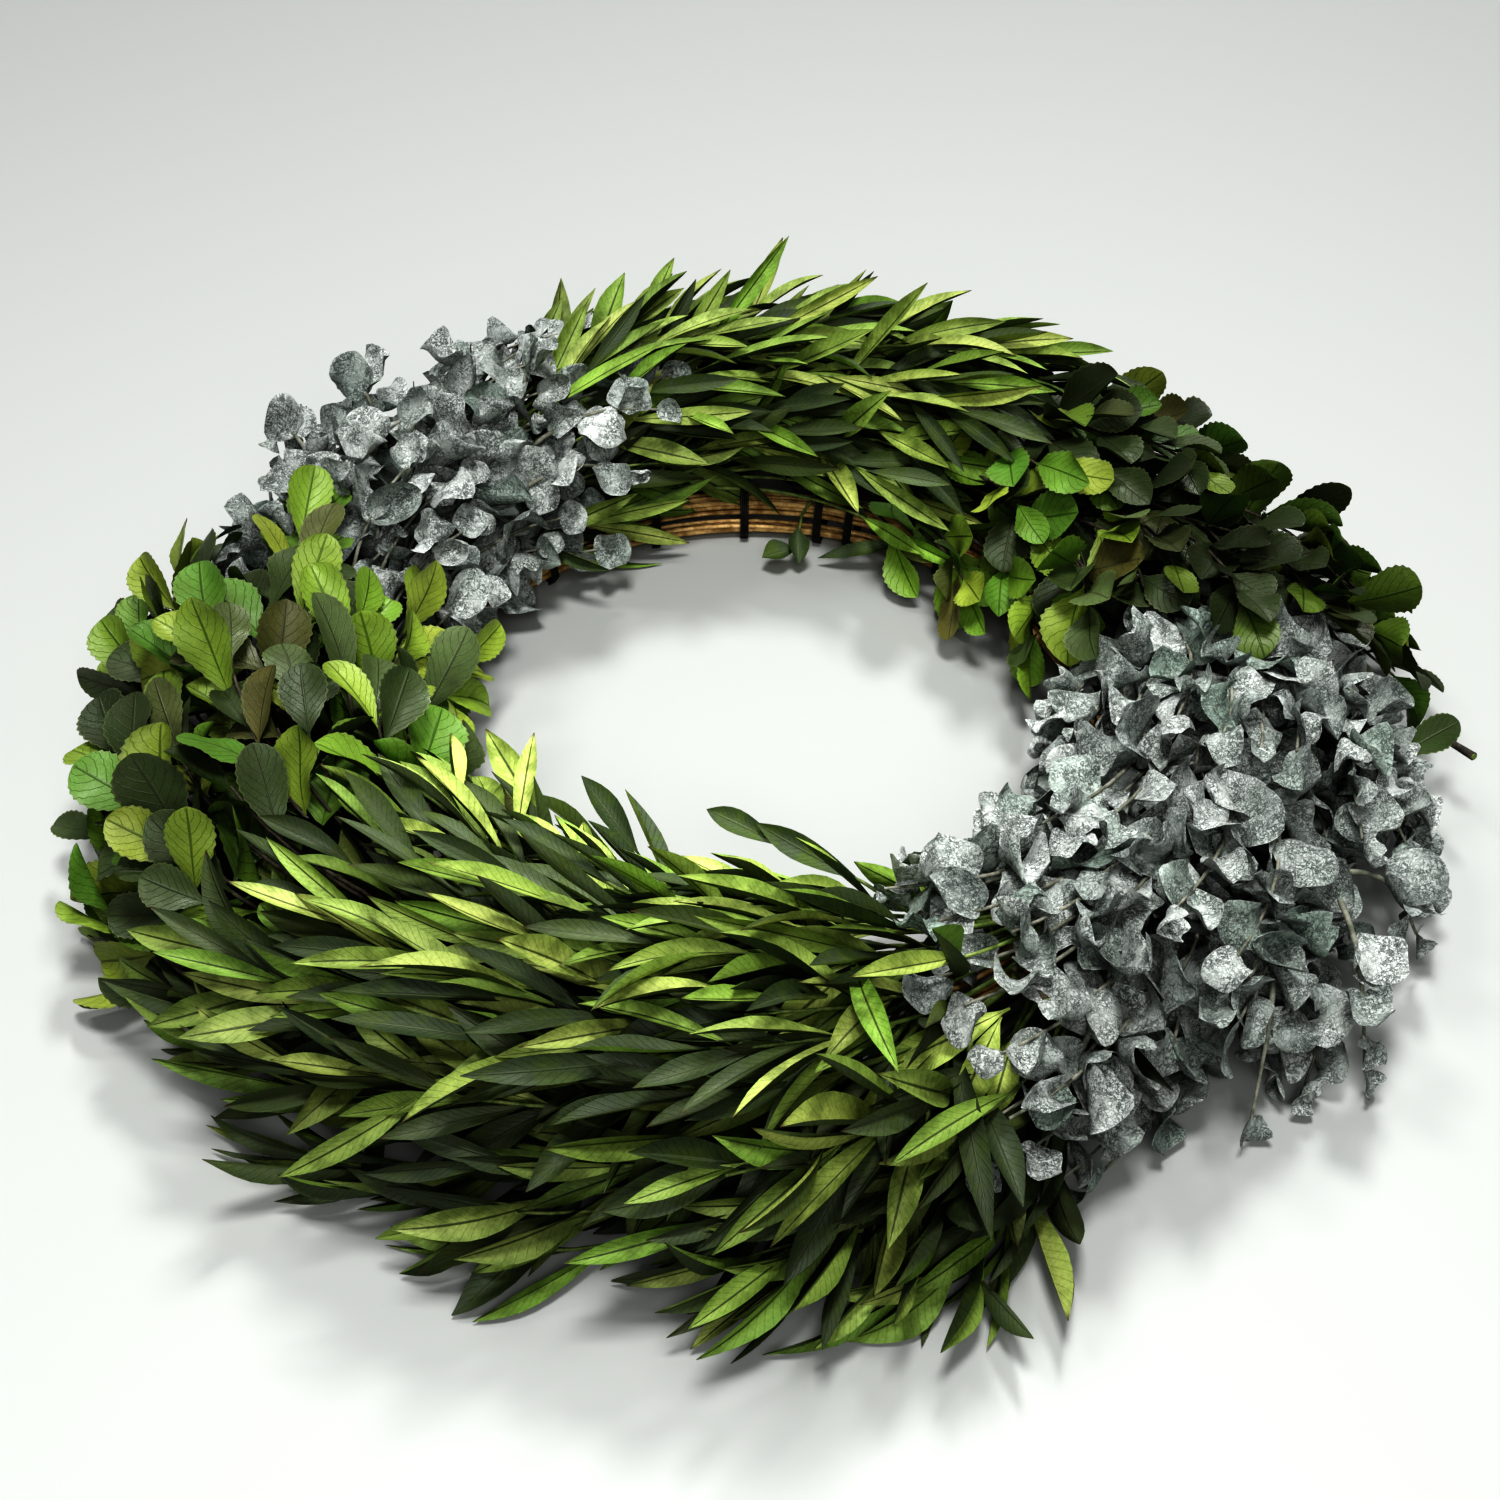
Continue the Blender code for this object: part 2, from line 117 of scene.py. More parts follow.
STEM_PLAN = ((0.00, 0.083, 1.00), (-1.0, 0.064, 0.92), (0.74, 0.060, 0.98), (1.0, 0.024, 0.90))
FANS = {
    "lance_front_right": (1.05, 0.014, 0.52),
    "lance_front": (1.0, 0.016, 0.50),
    "eucalyptus_front_right": (1.0, 0.012, 0.55),
}
PITCH = {"lance": 0.0125, "broad": 0.0085, "round": 0.0095}
SIZE = {
    "lance": ((0.062, 0.0135), (0.048, 0.0115)),
    "broad": ((0.043, 0.0270), (0.033, 0.0210)),
    "round": ((0.031, 0.0300), (0.019, 0.0170)),
}
LEAN = {"lance": (46, 20), "broad": (62, 34), "round": (66, 42)}


def ring_point(angle, across, height):
    """Point at an angle in degrees, out from the middle line of the leaf ring, at a height."""
    turn = math.radians(angle)
    reach = LEAF_RING_R + across
    return CENTRE + Vector((reach * math.cos(turn), reach * math.sin(turn), height))


def lifted(height):
    """Bend heights that would go under the table so that they lie just above it."""
    rise = BEND_BELOW - LOW
    bent = LOW + rise * np.exp((np.minimum(height, BEND_BELOW) - BEND_BELOW) / rise)
    return np.where(height < BEND_BELOW, bent, height)


def stem_points(foot, reach, inner, length, plan, steps=5):
    """Middle line of a stem, from its foot on the ring up into the spray and along it."""
    share, top, part = plan
    tip_across = share * (reach - LEAF_RING_R - 0.026 if share > 0 else -inner)
    points = []
    for i in range(steps + 1):
        t = i / steps
        grow = 1.0 - (1.0 - t) ** 1.8
        across = FOOT_ACROSS * (1 - grow) + tip_across * (0.7 * grow + 0.3 * t * t)
        height = float(lifted(FOOT_HEIGHT * (1 - grow) + top * grow))
        points.append(ring_point(foot - math.degrees(length * part * t / LEAF_RING_R), across, height))
    return points


def along(points, distance):
    """Point and direction at a distance along a polyline."""
    for a, b in zip(points, points[1:]):
        step = (b - a).length
        if distance <= step or b is points[-1]:
            return a.lerp(b, min(1.0, distance / step)), (b - a).normalized()
        distance -= step
    return points[-1], (points[-1] - points[-2]).normalized()


def leaves_on(kind, points, seed, lean_share=1.0, pitch_share=1.0, size_share=(1.0, 1.0), bare=0.042):
    """Leaves of one stem from the tip down: root, direction, face, length, width, arch and fold."""
    rng = random.Random(seed)
    total = sum((b - a).length for a, b in zip(points, points[1:]))
    leaves = []
    reach = total - 0.001
    turn = rng.uniform(0, 360)
    while reach > bare:
        share = (total - reach) / total
        root, tangent = along(points, reach)
        here = math.degrees(math.atan2(root.y - CENTRE.y, root.x - CENTRE.x))
        from_middle = root - ring_point(here, 0.0, 0.030)
        out = (from_middle - tangent * from_middle.dot(tangent)).normalized()
        side = tangent.cross(out)
        first, last = LEAN[kind]
        mix = min(1.0, share * 2.2)
        lean = math.radians(last + (first - last) * mix + rng.uniform(-9, 9)) * lean_share
        if kind == "lance":
            around = (1 if len(leaves) % 2 else -1) * rng.uniform(25, 95)
        elif kind == "round":
            around = (len(leaves) % 2) * 180 + (90 if len(leaves) // 2 % 2 else 0) + turn
            around += rng.uniform(-22, 22)
        else:
            around = turn + len(leaves) * 137.5 + rng.uniform(-15, 15)
        around = (around + 180) % 360 - 180
        if abs(around) > 110:
            around = math.copysign(rng.uniform(70, 110), around)
        if not leaves:
            lean = math.radians(8)
        spoke = out * math.cos(math.radians(around)) + side * math.sin(math.radians(around))
        direction = (tangent * math.cos(lean) + spoke * math.sin(lean)).normalized()
        big, small = SIZE[kind]
        scale = rng.uniform(0.86, 1.1)
        length = (small[0] + (big[0] - small[0]) * mix) * scale * size_share[0]
        width = (small[1] + (big[1] - small[1]) * mix) * scale * size_share[1] * rng.uniform(0.92, 1.08)
        face = tangent * rng.uniform(0.1, 0.8) + out * rng.uniform(0.5, 1.0) + Vector((0, 0, 0.35))
        face += side * rng.uniform(-0.5, 0.5)
        drop = root.z + direction.z * length
        if drop < TIP_HEIGHT:
            direction.z += (TIP_HEIGHT - drop) / length
            direction.normalize()
        face = (face - direction * face.dot(direction)).normalized()
        arch, fold = rng.uniform(0.02, 0.14), rng.uniform(0.12, 0.42)
        leaves.append((root, direction, face, length, width, arch, fold))
        pairing = 1.0 if kind != "round" else 2.0 if len(leaves) % 2 else 0.25
        reach -= PITCH[kind] * rng.uniform(0.85, 1.15) * pairing * pitch_share
    return leaves


# %% [markdown]
# ## Find the stems of the solids
# In the solids every stem was nudged a little until it stood clear of its neighbours. The same
# nudges come again from the same seeds, so we try them in order and keep the first stem whose middle
# line lies inside the solid bunch.

# %% Stems that the solids have
def search_tree(node):
    """Search tree of a solid's surface."""
    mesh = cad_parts[node].data
    return BVHTree.FromPolygons([v.co for v in mesh.vertices], [p.vertices for p in mesh.polygons])


def lies_in(tree, points):
    """Whether a middle line runs inside a solid stem."""
    spots = [a.lerp(b, s) for a, b in zip(points, points[1:]) for s in (0.2, 0.5, 0.8)]
    return max(tree.find_nearest(spot)[3] for spot in spots) < 0.0017


solid_stems = {}
for place, (name, kind, foot, reach, inner, length) in enumerate(BUNCHES):
    tree = search_tree(name)
    found = []
    for number, (share, top, part) in enumerate(list(STEM_PLAN) + ([FANS[name]] if name in FANS else [])):
        rng = random.Random(100 * place + number)
        for attempt in range(60):
            spread = 1 + attempt / 10
            plan = (share + rng.uniform(-0.08, 0.08) * spread, top + rng.uniform(-0.004, 0.004) * spread,
                    part * rng.uniform(0.94, 1.04))
            points = stem_points(foot - 2.0 * number, reach, inner, length, plan)
            if number == 0:
                points.insert(0, ring_point(foot + 5.0, FOOT_ACROSS, FOOT_HEIGHT))
            else:
                points[0] = along(found[0][1], 0.016 + 0.007 * number)[0]
            if lies_in(tree, points):
                found.append((number, points))
                break
    solid_stems[name] = found
print({name: len(found) for name, found in solid_stems.items()})

# %% [markdown]
# ## More stems
# A real bunch has far more stems than its solid. These fill the dome between them: each line gives
# how far out (or in, below zero) the tip stands, how high it is, and how much of the bunch's length
# it has.

# %% Stems that fill the bunches
FILL = {
    "lance": ((-1.30, 0.052, 0.86), (-1.25, 0.030, 0.76), (-1.0, 0.070, 0.92), (-0.80, 0.084, 0.98),
              (-0.50, 0.093, 1.00), (-0.20, 0.094, 1.02), (0.26, 0.090, 1.02), (0.50, 0.080, 0.98),
              (0.72, 0.066, 1.00), (0.90, 0.048, 0.96), (1.00, 0.030, 0.92), (1.00, 0.010, 0.84),
              (0.70, 0.044, 0.72), (-0.25, 0.074, 0.74), (0.45, 0.030, 0.86), (-0.90, 0.036, 0.90),
              (0.30, 0.074, 0.78), (0.90, 0.022, 0.66), (0.0, 0.088, 0.62), (-0.65, 0.066, 0.66),
              (0.60, 0.058, 0.60)),
    "broad": ((-1.30, 0.048, 0.82), (-1.22, 0.028, 0.74), (-1.0, 0.066, 0.90), (-0.75, 0.080, 0.96),
              (-0.40, 0.088, 1.00), (-0.10, 0.090, 1.02), (0.30, 0.086, 1.02), (0.55, 0.074, 0.98),
              (0.75, 0.060, 1.00), (0.92, 0.044, 0.96), (1.00, 0.026, 0.90), (1.00, 0.010, 0.80),
              (0.70, 0.040, 0.66), (-0.20, 0.070, 0.70), (0.35, 0.056, 0.70), (-0.80, 0.036, 0.80),
              (0.15, 0.084, 0.60), (-0.60, 0.066, 0.60), (0.60, 0.058, 0.55)),
    "round": ((-1.30, 0.050, 0.84), (-1.25, 0.030, 0.76), (-1.0, 0.068, 0.92), (-0.75, 0.082, 0.98),
              (-0.45, 0.090, 1.00), (-0.10, 0.092, 1.02), (0.28, 0.088, 1.02), (0.55, 0.076, 0.98),
              (0.75, 0.062, 1.00), (0.92, 0.044, 0.96), (1.00, 0.026, 0.92), (1.00, 0.010, 0.80),
              (0.72, 0.042, 0.66), (-0.20, 0.072, 0.70), (0.35, 0.050, 0.62), (0.60, 0.020, 0.86),
              (-0.80, 0.036, 0.82), (0.10, 0.086, 0.62), (-0.60, 0.068, 0.62), (0.55, 0.062, 0.60)),
}
# Short stems low at the outside, and stems that hang into the hole
SKIRT = ((1.02, 0.030, 0.46), (0.96, 0.050, 0.42), (1.04, 0.012, 0.38), (0.90, 0.040, 0.34),
         (0.98, 0.020, 0.30))
HANGING = ((-1.45, 0.027, 0.90), (-1.15, 0.038, 1.00), (-1.35, 0.033, 0.60), (-1.25, 0.030, 0.35))
EXTRA = {
    "lance_front": SKIRT[::2],
    "eucalyptus_front_right": SKIRT[1::2],
    "eucalyptus_front": SKIRT,
    "eucalyptus_back_left": HANGING + ((-0.62, 0.082, 1.36),),
    "lance_back_left": HANGING,
    "lance_back": HANGING,
    "lance_back_right": HANGING,
    "broad_back_right": HANGING,
}
SHORTER = {"lance_front_left": 0.84}
# Sprays that leave the rule: root and tip of each, measured from the middle of the ring. They are
# drawn in steps and rise this much over the straight line half way.
SPRAY_STEPS = 8
SPRAY_RISE = Vector((0, 0, 0.012))
SPRAYS = {
    "eucalyptus_front": (((0.1960, -0.1666, 0.050), (0.1865, -0.2080, 0.014)),
                         ((0.1615, -0.1750, 0.055), (0.1500, -0.2100, 0.016)),
                         ((0.1261, -0.1929, 0.060), (0.1010, -0.2400, 0.020))),
    "eucalyptus_front_right": (((0.2243, -0.1406, 0.060), (0.2345, -0.1850, 0.012)),
                               ((0.2316, -0.1221, 0.055), (0.2665, -0.1260, 0.022))),
    "lance_front_right": (((0.0464, -0.2026, 0.052), (0.0250, -0.2420, 0.016)),
                          ((0.0551, -0.2067, 0.052), (0.0439, -0.2500, 0.014)),
                          ((0.0657, -0.2058, 0.054), (0.0600, -0.2480, 0.014)),
                          ((0.0793, -0.2008, 0.054), (0.0730, -0.2380, 0.016)),
                          ((0.0877, -0.1975, 0.052), (0.0869, -0.2280, 0.016)),
                          ((0.0560, -0.2000, 0.064), (0.0380, -0.2360, 0.042)),
                          ((0.0740, -0.1980, 0.064), (0.0660, -0.2280, 0.040))),
    "eucalyptus_back_left": (((-0.1160, 0.1270, 0.066), (-0.0440, 0.1500, 0.082)),
                             ((-0.1180, 0.1120, 0.054), (-0.0580, 0.1287, 0.061)),
                             ((-0.1380, 0.1480, 0.078), (-0.1420, 0.1740, 0.101)),
                             ((-0.1732, 0.1280, 0.076), (-0.1900, 0.1570, 0.092)),
                             ((-0.2040, 0.1179, 0.064), (-0.2270, 0.1410, 0.074)),
                             ((-0.1109, 0.1480, 0.078), (-0.1020, 0.1760, 0.098))),
}
fill_stems = {}
for place, (name, kind, foot, reach, inner, length) in enumerate(BUNCHES):
    fill_stems[name] = []
    rng = random.Random(7000 + place)
    for share, top, part in FILL[kind] + EXTRA.get(name, ()):
        plan = (share + rng.uniform(-0.08, 0.08), top + rng.uniform(-0.004, 0.004),
                part * rng.uniform(0.92, 1.06) * SHORTER.get(name, 1.0))
        points = stem_points(foot + rng.uniform(-5, 3), reach, inner, length, plan, steps=14)
        fill_stems[name].append(points)
    for root, tip in SPRAYS.get(name, ()):
        root, tip = CENTRE + Vector(root), CENTRE + Vector(tip)
        shares = [i / SPRAY_STEPS for i in range(SPRAY_STEPS + 1)]
        fill_stems[name].append([root.lerp(tip, t) + SPRAY_RISE * math.sin(math.pi * t) for t in shares])
print("extra stems", sum(len(found) for found in fill_stems.values()))

# %% [markdown]
# ## The blade of a leaf
# A dried leaf is a thin shell, a third of a millimetre thick, folded a little on its midrib, rolled at
# the edges and arched along its length. One grid of points is shaped for each leaf: the outline says how
# wide the leaf is at each step along it, and sine waves and turns give it its curl. The grid is laid
# out for all leaves of a bunch at once with numpy, because thousands of leaves made one by one are slow.

# %% Shapes of the three kinds of leaf
OUTLINE = {
    "lance": ((0, .08), (.06, .10), (.14, .29), (.25, .55), (.37, .78), (.49, .94), (.60, 1), (.71, .92),
              (.81, .71), (.89, .45), (.95, .22), (1, .03)),
    "broad": ((0, .06), (.08, .07), (.14, .20), (.23, .42), (.33, .62), (.43, .80), (.53, .93), (.62, 1),
              (.71, 1), (.79, .94), (.86, .81), (.92, .63), (.97, .38), (1, .06)),
    "round": ((0, .12), (.05, .36), (.12, .62), (.21, .83), (.32, .95), (.44, 1), (.57, 1), (.70, .95),
              (.82, .82), (.92, .58), (.98, .30), (1, .06)),
}
COLUMNS = {"lance": 4, "broad": 4, "round": 6}
THICKNESS = 0.00034


def outline_rows(kind):
    """Steps along a leaf and its half width at each. A broad leaf gets twice the steps, for its teeth."""
    steps, half = np.array(OUTLINE[kind], float).T
    if kind == "broad":
        finer = np.interp(np.linspace(0, len(steps) - 1, 2 * len(steps) - 1), np.arange(len(steps)), steps)
        half = np.interp(finer, steps, half)
        half[1::2] *= np.where(finer[1::2] > 0.2, 1.09, 1.0)
        steps = finer
    return steps, half


def blade_points(kind, leaves, rng):
    """Middle surface of every leaf: an array of leaves by rows by columns by xyz."""
    steps, half = outline_rows(kind)
    across = np.linspace(-1, 1, COLUMNS[kind] + 1)
    s, w = np.meshgrid(steps, across, indexing="ij")
    h = half[:, None] * np.ones_like(w)

    def each(low, high):
        return rng.uniform(low, high, (len(leaves), 1, 1))

    def part(i):
        return np.array([leaf[i] for leaf in leaves], float)[:, None, None]

    root, direction, face = (part(i) for i in (0, 1, 2))
    length, width, arch, fold = (part(i) for i in (3, 4, 5, 6))
    side = np.cross(direction, face)
    roll = {"lance": each(0.1, 1.0), "broad": each(-0.3, 0.8), "round": each(-1.3, 1.9)}[kind] + 1e-3
    bend = {"lance": each(-0.3, 0.5), "broad": each(-0.3, 0.5), "round": each(-0.8, 0.6)}[kind] + 2 * arch
    fold = fold * {"lance": 2.2, "broad": 0.9, "round": 0.9}[kind]
    heart = {"lance": 0.0, "broad": 0.0, "round": 0.16}[kind]
    wave = {"lance": 0.06, "broad": 0.08, "round": 0.25}[kind] * each(0.4, 1.0)
    y = width / 2 * h * np.sin(roll * w) / roll
    z = width / 2 * h * ((1 - np.cos(roll * w)) / roll + fold * (np.sqrt(w * w + 0.02) - 0.14))
    z += width * wave * w * np.abs(w) * h * np.sin(2 * np.pi * (each(0.8, 1.7) * s + each(0, 1)))
    z += width * wave * 0.6 * w * w * h * np.sin(2 * np.pi * (each(0.6, 1.4) * s + each(0, 1)))
    for pleats in (3.0, 5.5):
        z += width * wave * 0.25 * h * np.sin(pleats * (each(0.8, 1.2) * s + each(-1, 1) * w) + each(0, 6))
    y += length * each(-0.05, 0.05) * s * s
    turn = each(-0.5, 0.5) * s
    y, z = y * np.cos(turn) - z * np.sin(turn), y * np.sin(turn) + z * np.cos(turn)
    ahead = s - heart * w * w * (1 - s) ** 2 * h
    x = length * np.sin(bend * ahead) / bend
    z = z - length * (1 - np.cos(bend * ahead)) / bend
    points = root + x[..., None] * direction + y[..., None] * side + z[..., None] * face
    points[..., 2] = lifted(points[..., 2])
    return points, s, w


def leaves_mesh(name, points, s, w, light, deep, pick):
    """Closed thin shells for many leaves, with the place on each leaf kept for its finish."""
    count, rows, columns, _ = points.shape
    normal = np.cross(np.gradient(points, axis=1), np.gradient(points, axis=2))
    normal /= np.maximum(np.linalg.norm(normal, axis=-1, keepdims=True), 1e-12)
    inside = np.zeros((rows, columns), bool)
    inside[1:-1, 1:-1] = True
    half = THICKNESS / 2 * inside[..., None]
    upper, lower = points - normal * half, points + normal * half
    number = np.arange(rows * columns).reshape(rows, columns)
    below = number.copy()
    below[inside] = rows * columns + np.arange(inside.sum())
    each = rows * columns + inside.sum()

    def quads(grid, turned):
        a, b, c, d = grid[:-1, :-1], grid[:-1, 1:], grid[1:, 1:], grid[1:, :-1]
        corners = (a, d, c, b) if turned else (a, b, c, d)
        return np.stack([corner.ravel() for corner in corners], axis=1)

    one = np.concatenate([quads(number, True), quads(below, False)])
    faces = (one[None] + each * np.arange(count)[:, None, None]).reshape(-1, 4)
    vertices = np.concatenate([upper.reshape(count, -1, 3), lower[:, inside]], axis=1).reshape(-1, 3)
    mesh = bpy.data.meshes.new(name)
    mesh.from_pydata(vertices, [], faces)
    place = np.stack([s, w], axis=-1)
    place = np.concatenate([place.reshape(-1, 2), place[inside]])
    values = np.column_stack([np.tile(place, (count, 1)), np.repeat(pick, each)])
    mesh.attributes.new("place", "FLOAT_VECTOR", "POINT").data.foreach_set("vector", values.ravel())
    # Depth in the foliage, which the finishes turn into painted shade
    mesh.attributes.new("deep", "FLOAT", "POINT").data.foreach_set("value", np.repeat(deep, each))
    upper_light = np.repeat(light[:, None], len(one) // 2, axis=1)
    sides = np.concatenate([upper_light, 1 - upper_light], axis=1).ravel()
    mesh.attributes.new("light_face", "FLOAT", "FACE").data.foreach_set("value", sides)
    mesh.shade_smooth()
    mesh.set_sharp_from_angle(angle=math.radians(70))
    return mesh


# %% [markdown]
# ## Tools for finishes
# Each finish is a small tree of nodes. These helpers add a node, set its sockets and hand back its
# output, so that a finish reads like a recipe.

# %% Helpers for nodes
class Finish:
    """A material under construction, with short calls for the nodes it needs."""

    def __init__(self, name, **settings):
        self.material = bpy.data.materials.new(name)
        self.material.use_nodes = True
        self.tree = self.material.node_tree
        self.shader = self.tree.nodes["Principled BSDF"]
        self.set(self.shader, settings)

    def set(self, node, sockets):
        for key, value in sockets.items():
            socket = node.inputs[key.replace("_", " ") if isinstance(key, str) else key]
            if isinstance(value, bpy.types.NodeSocket):
                self.tree.links.new(value, socket)
            else:
                socket.default_value = (*value, 1.0) if socket.type == "RGBA" and len(value) == 3 else value

    def add(self, kind, sockets, out=0, **options):
        node = self.tree.nodes.new("ShaderNode" + kind)
        for key, value in options.items():
            setattr(node, key, value)
        self.set(node, sockets)
        return node.outputs[out]

    def math(self, operation, *values):
        return self.add("Math", dict(enumerate(values)), operation=operation)

    def smooth(self, value, low, high, to_low=0.0, to_high=1.0):
        return self.add("MapRange", {0: value, 1: low, 2: high, 3: to_low, 4: to_high},
                        interpolation_type="SMOOTHSTEP")

    def mix(self, share, one, two, blend="MIX"):
        return self.add("Mix", {0: share, 6: one, 7: two}, out=2, data_type="RGBA", blend_type=blend)

    def ramp(self, value, *stops):
        node = self.tree.nodes.new("ShaderNodeValToRGB")
        elements = node.color_ramp.elements
        for i, (spot, colour) in enumerate(stops):
            element = elements[i] if i < 2 else elements.new(spot)
            element.position = spot
            element.color = (*colour, 1.0)
        self.set(node, {"Fac": value})
        return node.outputs["Color"]

    def noise(self, scale, detail=4.0, rough=0.6, where=None):
        where = where or self.add("TexCoord", {}, out="Object")
        return self.add("TexNoise", {"Vector": where, "Scale": scale, "Detail": detail, "Roughness": rough})

    def place(self):
        """Share along the leaf, distance from its midrib and its own random number."""
        spot = self.add("Attribute", {}, out="Vector", attribute_name="place")
        x, y, z = (self.add("SeparateXYZ", {0: spot}, out=i) for i in range(3))
        return x, self.math("ABSOLUTE", y), z

    def shaded(self, colour, share):
        """Darker colour by the 'deep' attribute: painted shade on the leaves deep in the foliage, and the
        darker outsides of the two right-hand broad bunches.
        """
        deep = self.add("Attribute", {}, out="Fac", attribute_name="deep")
        return self.mix(self.math("MULTIPLY", deep, share), colour, (0.012, 0.014, 0.008))

    def done(self, colour, roughness, height, depth=0.0004):
        bump = self.add("Bump", {"Strength": 1.0, "Distance": depth, "Height": height})
        self.set(self.shader, {"Base Color": colour, "Roughness": roughness, "Normal": bump})
        return self.material


# %% [markdown]
# ## Narrow leaves
# These are satin, yellow-green on one face and dull dark green on the other, with a thin dark midrib
# and faint veins. Colour differs from leaf to leaf, and soft blotches run over each one. A leaf whose
# own number is over 1.2 has dried to brown.

# %% Finish of the narrow leaves
def narrow_leaf():
    f = Finish("narrow_leaf", Specular_IOR_Level=0.3)
    s, w, pick = f.place()
    light = f.add("Attribute", {}, out="Fac", attribute_name="light_face")
    blotch = f.noise(70.0)
    grain = f.noise(900.0, 3.0)
    bright = f.ramp(pick, (0.0, (0.30, 0.44, 0.10)), (0.3, (0.54, 0.64, 0.21)), (0.55, (0.37, 0.58, 0.12)),
                    (0.8, (0.58, 0.68, 0.22)), (1.0, (0.66, 0.73, 0.25)))
    dull = f.ramp(pick, (0.0, (0.055, 0.080, 0.036)), (0.4, (0.110, 0.145, 0.080)),
                  (0.8, (0.175, 0.215, 0.120)), (1.0, (0.095, 0.125, 0.042)))
    colour = f.mix(light, dull, bright)
    colour = f.mix(f.smooth(blotch, 0.42, 0.66, 0.0, 0.6), colour, (0.12, 0.17, 0.03))
    colour = f.mix(f.smooth(w, 0.35, 1.0, 0.0, 0.35), colour, (0.45, 0.60, 0.35), "MULTIPLY")
    colour = f.mix(f.smooth(grain, 0.3, 0.7, 0.0, 0.45), colour, (0.55, 0.58, 0.48), "MULTIPLY")
    slope = f.math("SUBTRACT", f.math("MULTIPLY", s, 16.0), f.math("MULTIPLY", w, 2.2))
    vein = f.smooth(f.math("ABSOLUTE", f.math("SUBTRACT", f.math("FRACT", slope), 0.5)), 0.0, 0.14, 1.0, 0.0)
    colour = f.mix(f.math("MULTIPLY", vein, 0.40), colour, (0.50, 0.58, 0.36), "MULTIPLY")
    midrib = f.smooth(w, 0.03, 0.11, 1.0, 0.0)
    rib_colour = f.mix(light, (0.13, 0.16, 0.08), (0.035, 0.055, 0.010))
    colour = f.mix(f.math("MULTIPLY", midrib, 0.85), colour, rib_colour)
    tip = f.math("MULTIPLY", f.smooth(s, 0.93, 1.0), f.smooth(pick, 0.3, 0.9))
    colour = f.mix(tip, colour, (0.12, 0.08, 0.03))
    brown = f.mix(f.smooth(blotch, 0.4, 0.6), (0.20, 0.085, 0.035), (0.08, 0.04, 0.02))
    colour = f.mix(f.smooth(pick, 1.2, 1.5), colour, brown)
    # Painted shade on the leaves deep in the foliage
    colour = f.shaded(colour, 1.0)
    height = f.math("SUBTRACT", f.math("MULTIPLY", grain, 0.25), f.math("MULTIPLY", midrib, 0.8))
    height = f.math("SUBTRACT", height, f.math("MULTIPLY", vein, 0.2))
    return f.done(colour, f.smooth(blotch, 0.3, 0.7, 0.50, 0.68), height)


# %% [markdown]
# ## Broad leaves
# Their veins branch from the midrib and curve towards the tip. Some faces are bright green and
# slightly glossy, others have dried to olive or to a very dark green.

# %% Finish of the broad leaves
def broad_leaf():
    f = Finish("broad_leaf", Specular_IOR_Level=0.3)
    s, w, pick = f.place()
    light = f.add("Attribute", {}, out="Fac", attribute_name="light_face")
    blotch = f.noise(60.0)
    grain = f.noise(1100.0, 3.0)
    bright = f.ramp(pick, (0.0, (0.15, 0.30, 0.06)), (0.5, (0.26, 0.41, 0.07)), (1.0, (0.38, 0.44, 0.09)))
    dull = f.ramp(pick, (0.0, (0.040, 0.060, 0.024)), (0.5, (0.090, 0.130, 0.050)),
                  (0.85, (0.145, 0.195, 0.085)), (1.0, (0.165, 0.150, 0.050)))
    colour = f.mix(light, dull, bright)
    stain = f.mix(light, (0.05, 0.05, 0.02), (0.10, 0.15, 0.01))
    colour = f.mix(f.smooth(blotch, 0.4, 0.75, 0.0, 0.5), colour, stain)
    colour = f.mix(f.smooth(grain, 0.3, 0.7, 0.0, 0.4), colour, (0.6, 0.62, 0.5), "MULTIPLY")
    bow = f.math("MULTIPLY", f.math("POWER", w, 1.3), 2.6)
    slope = f.math("SUBTRACT", f.math("MULTIPLY", s, 8.0), bow)
    vein = f.smooth(f.math("ABSOLUTE", f.math("SUBTRACT", f.math("FRACT", slope), 0.5)), 0.0, 0.07, 1.0, 0.0)
    midrib = f.smooth(w, 0.015, 0.07, 1.0, 0.0)
    lines = f.math("MAXIMUM", f.math("MULTIPLY", vein, 0.55), midrib)
    line_colour = f.mix(light, (0.075, 0.085, 0.045), (0.04, 0.085, 0.008))
    colour = f.mix(f.math("MULTIPLY", lines, 0.7), colour, line_colour)
    colour = f.mix(f.smooth(w, 0.90, 1.0, 0.0, 0.5), colour, (0.20, 0.24, 0.10))
    # Painted shade on the leaves deep in the foliage, and the darker outsides of the right-hand broad
    # bunches
    colour = f.shaded(colour, 0.8)
    height = f.math("SUBTRACT", f.math("MULTIPLY", grain, 0.3), f.math("MULTIPLY", lines, 0.7))
    height = f.math("ADD", height, f.math("MULTIPLY", f.noise(260.0), 0.5))
    return f.done(colour, f.smooth(blotch, 0.3, 0.7, 0.34, 0.55), height)


# %% [markdown]
# ## Eucalyptus leaves
# They are coin shaped and dry to a silvery grey with faint veins and a dark crackle. The crackle comes
# from two cell patterns bent by noise, strong in some patches and faint in others. A few leaves stay
# greener.

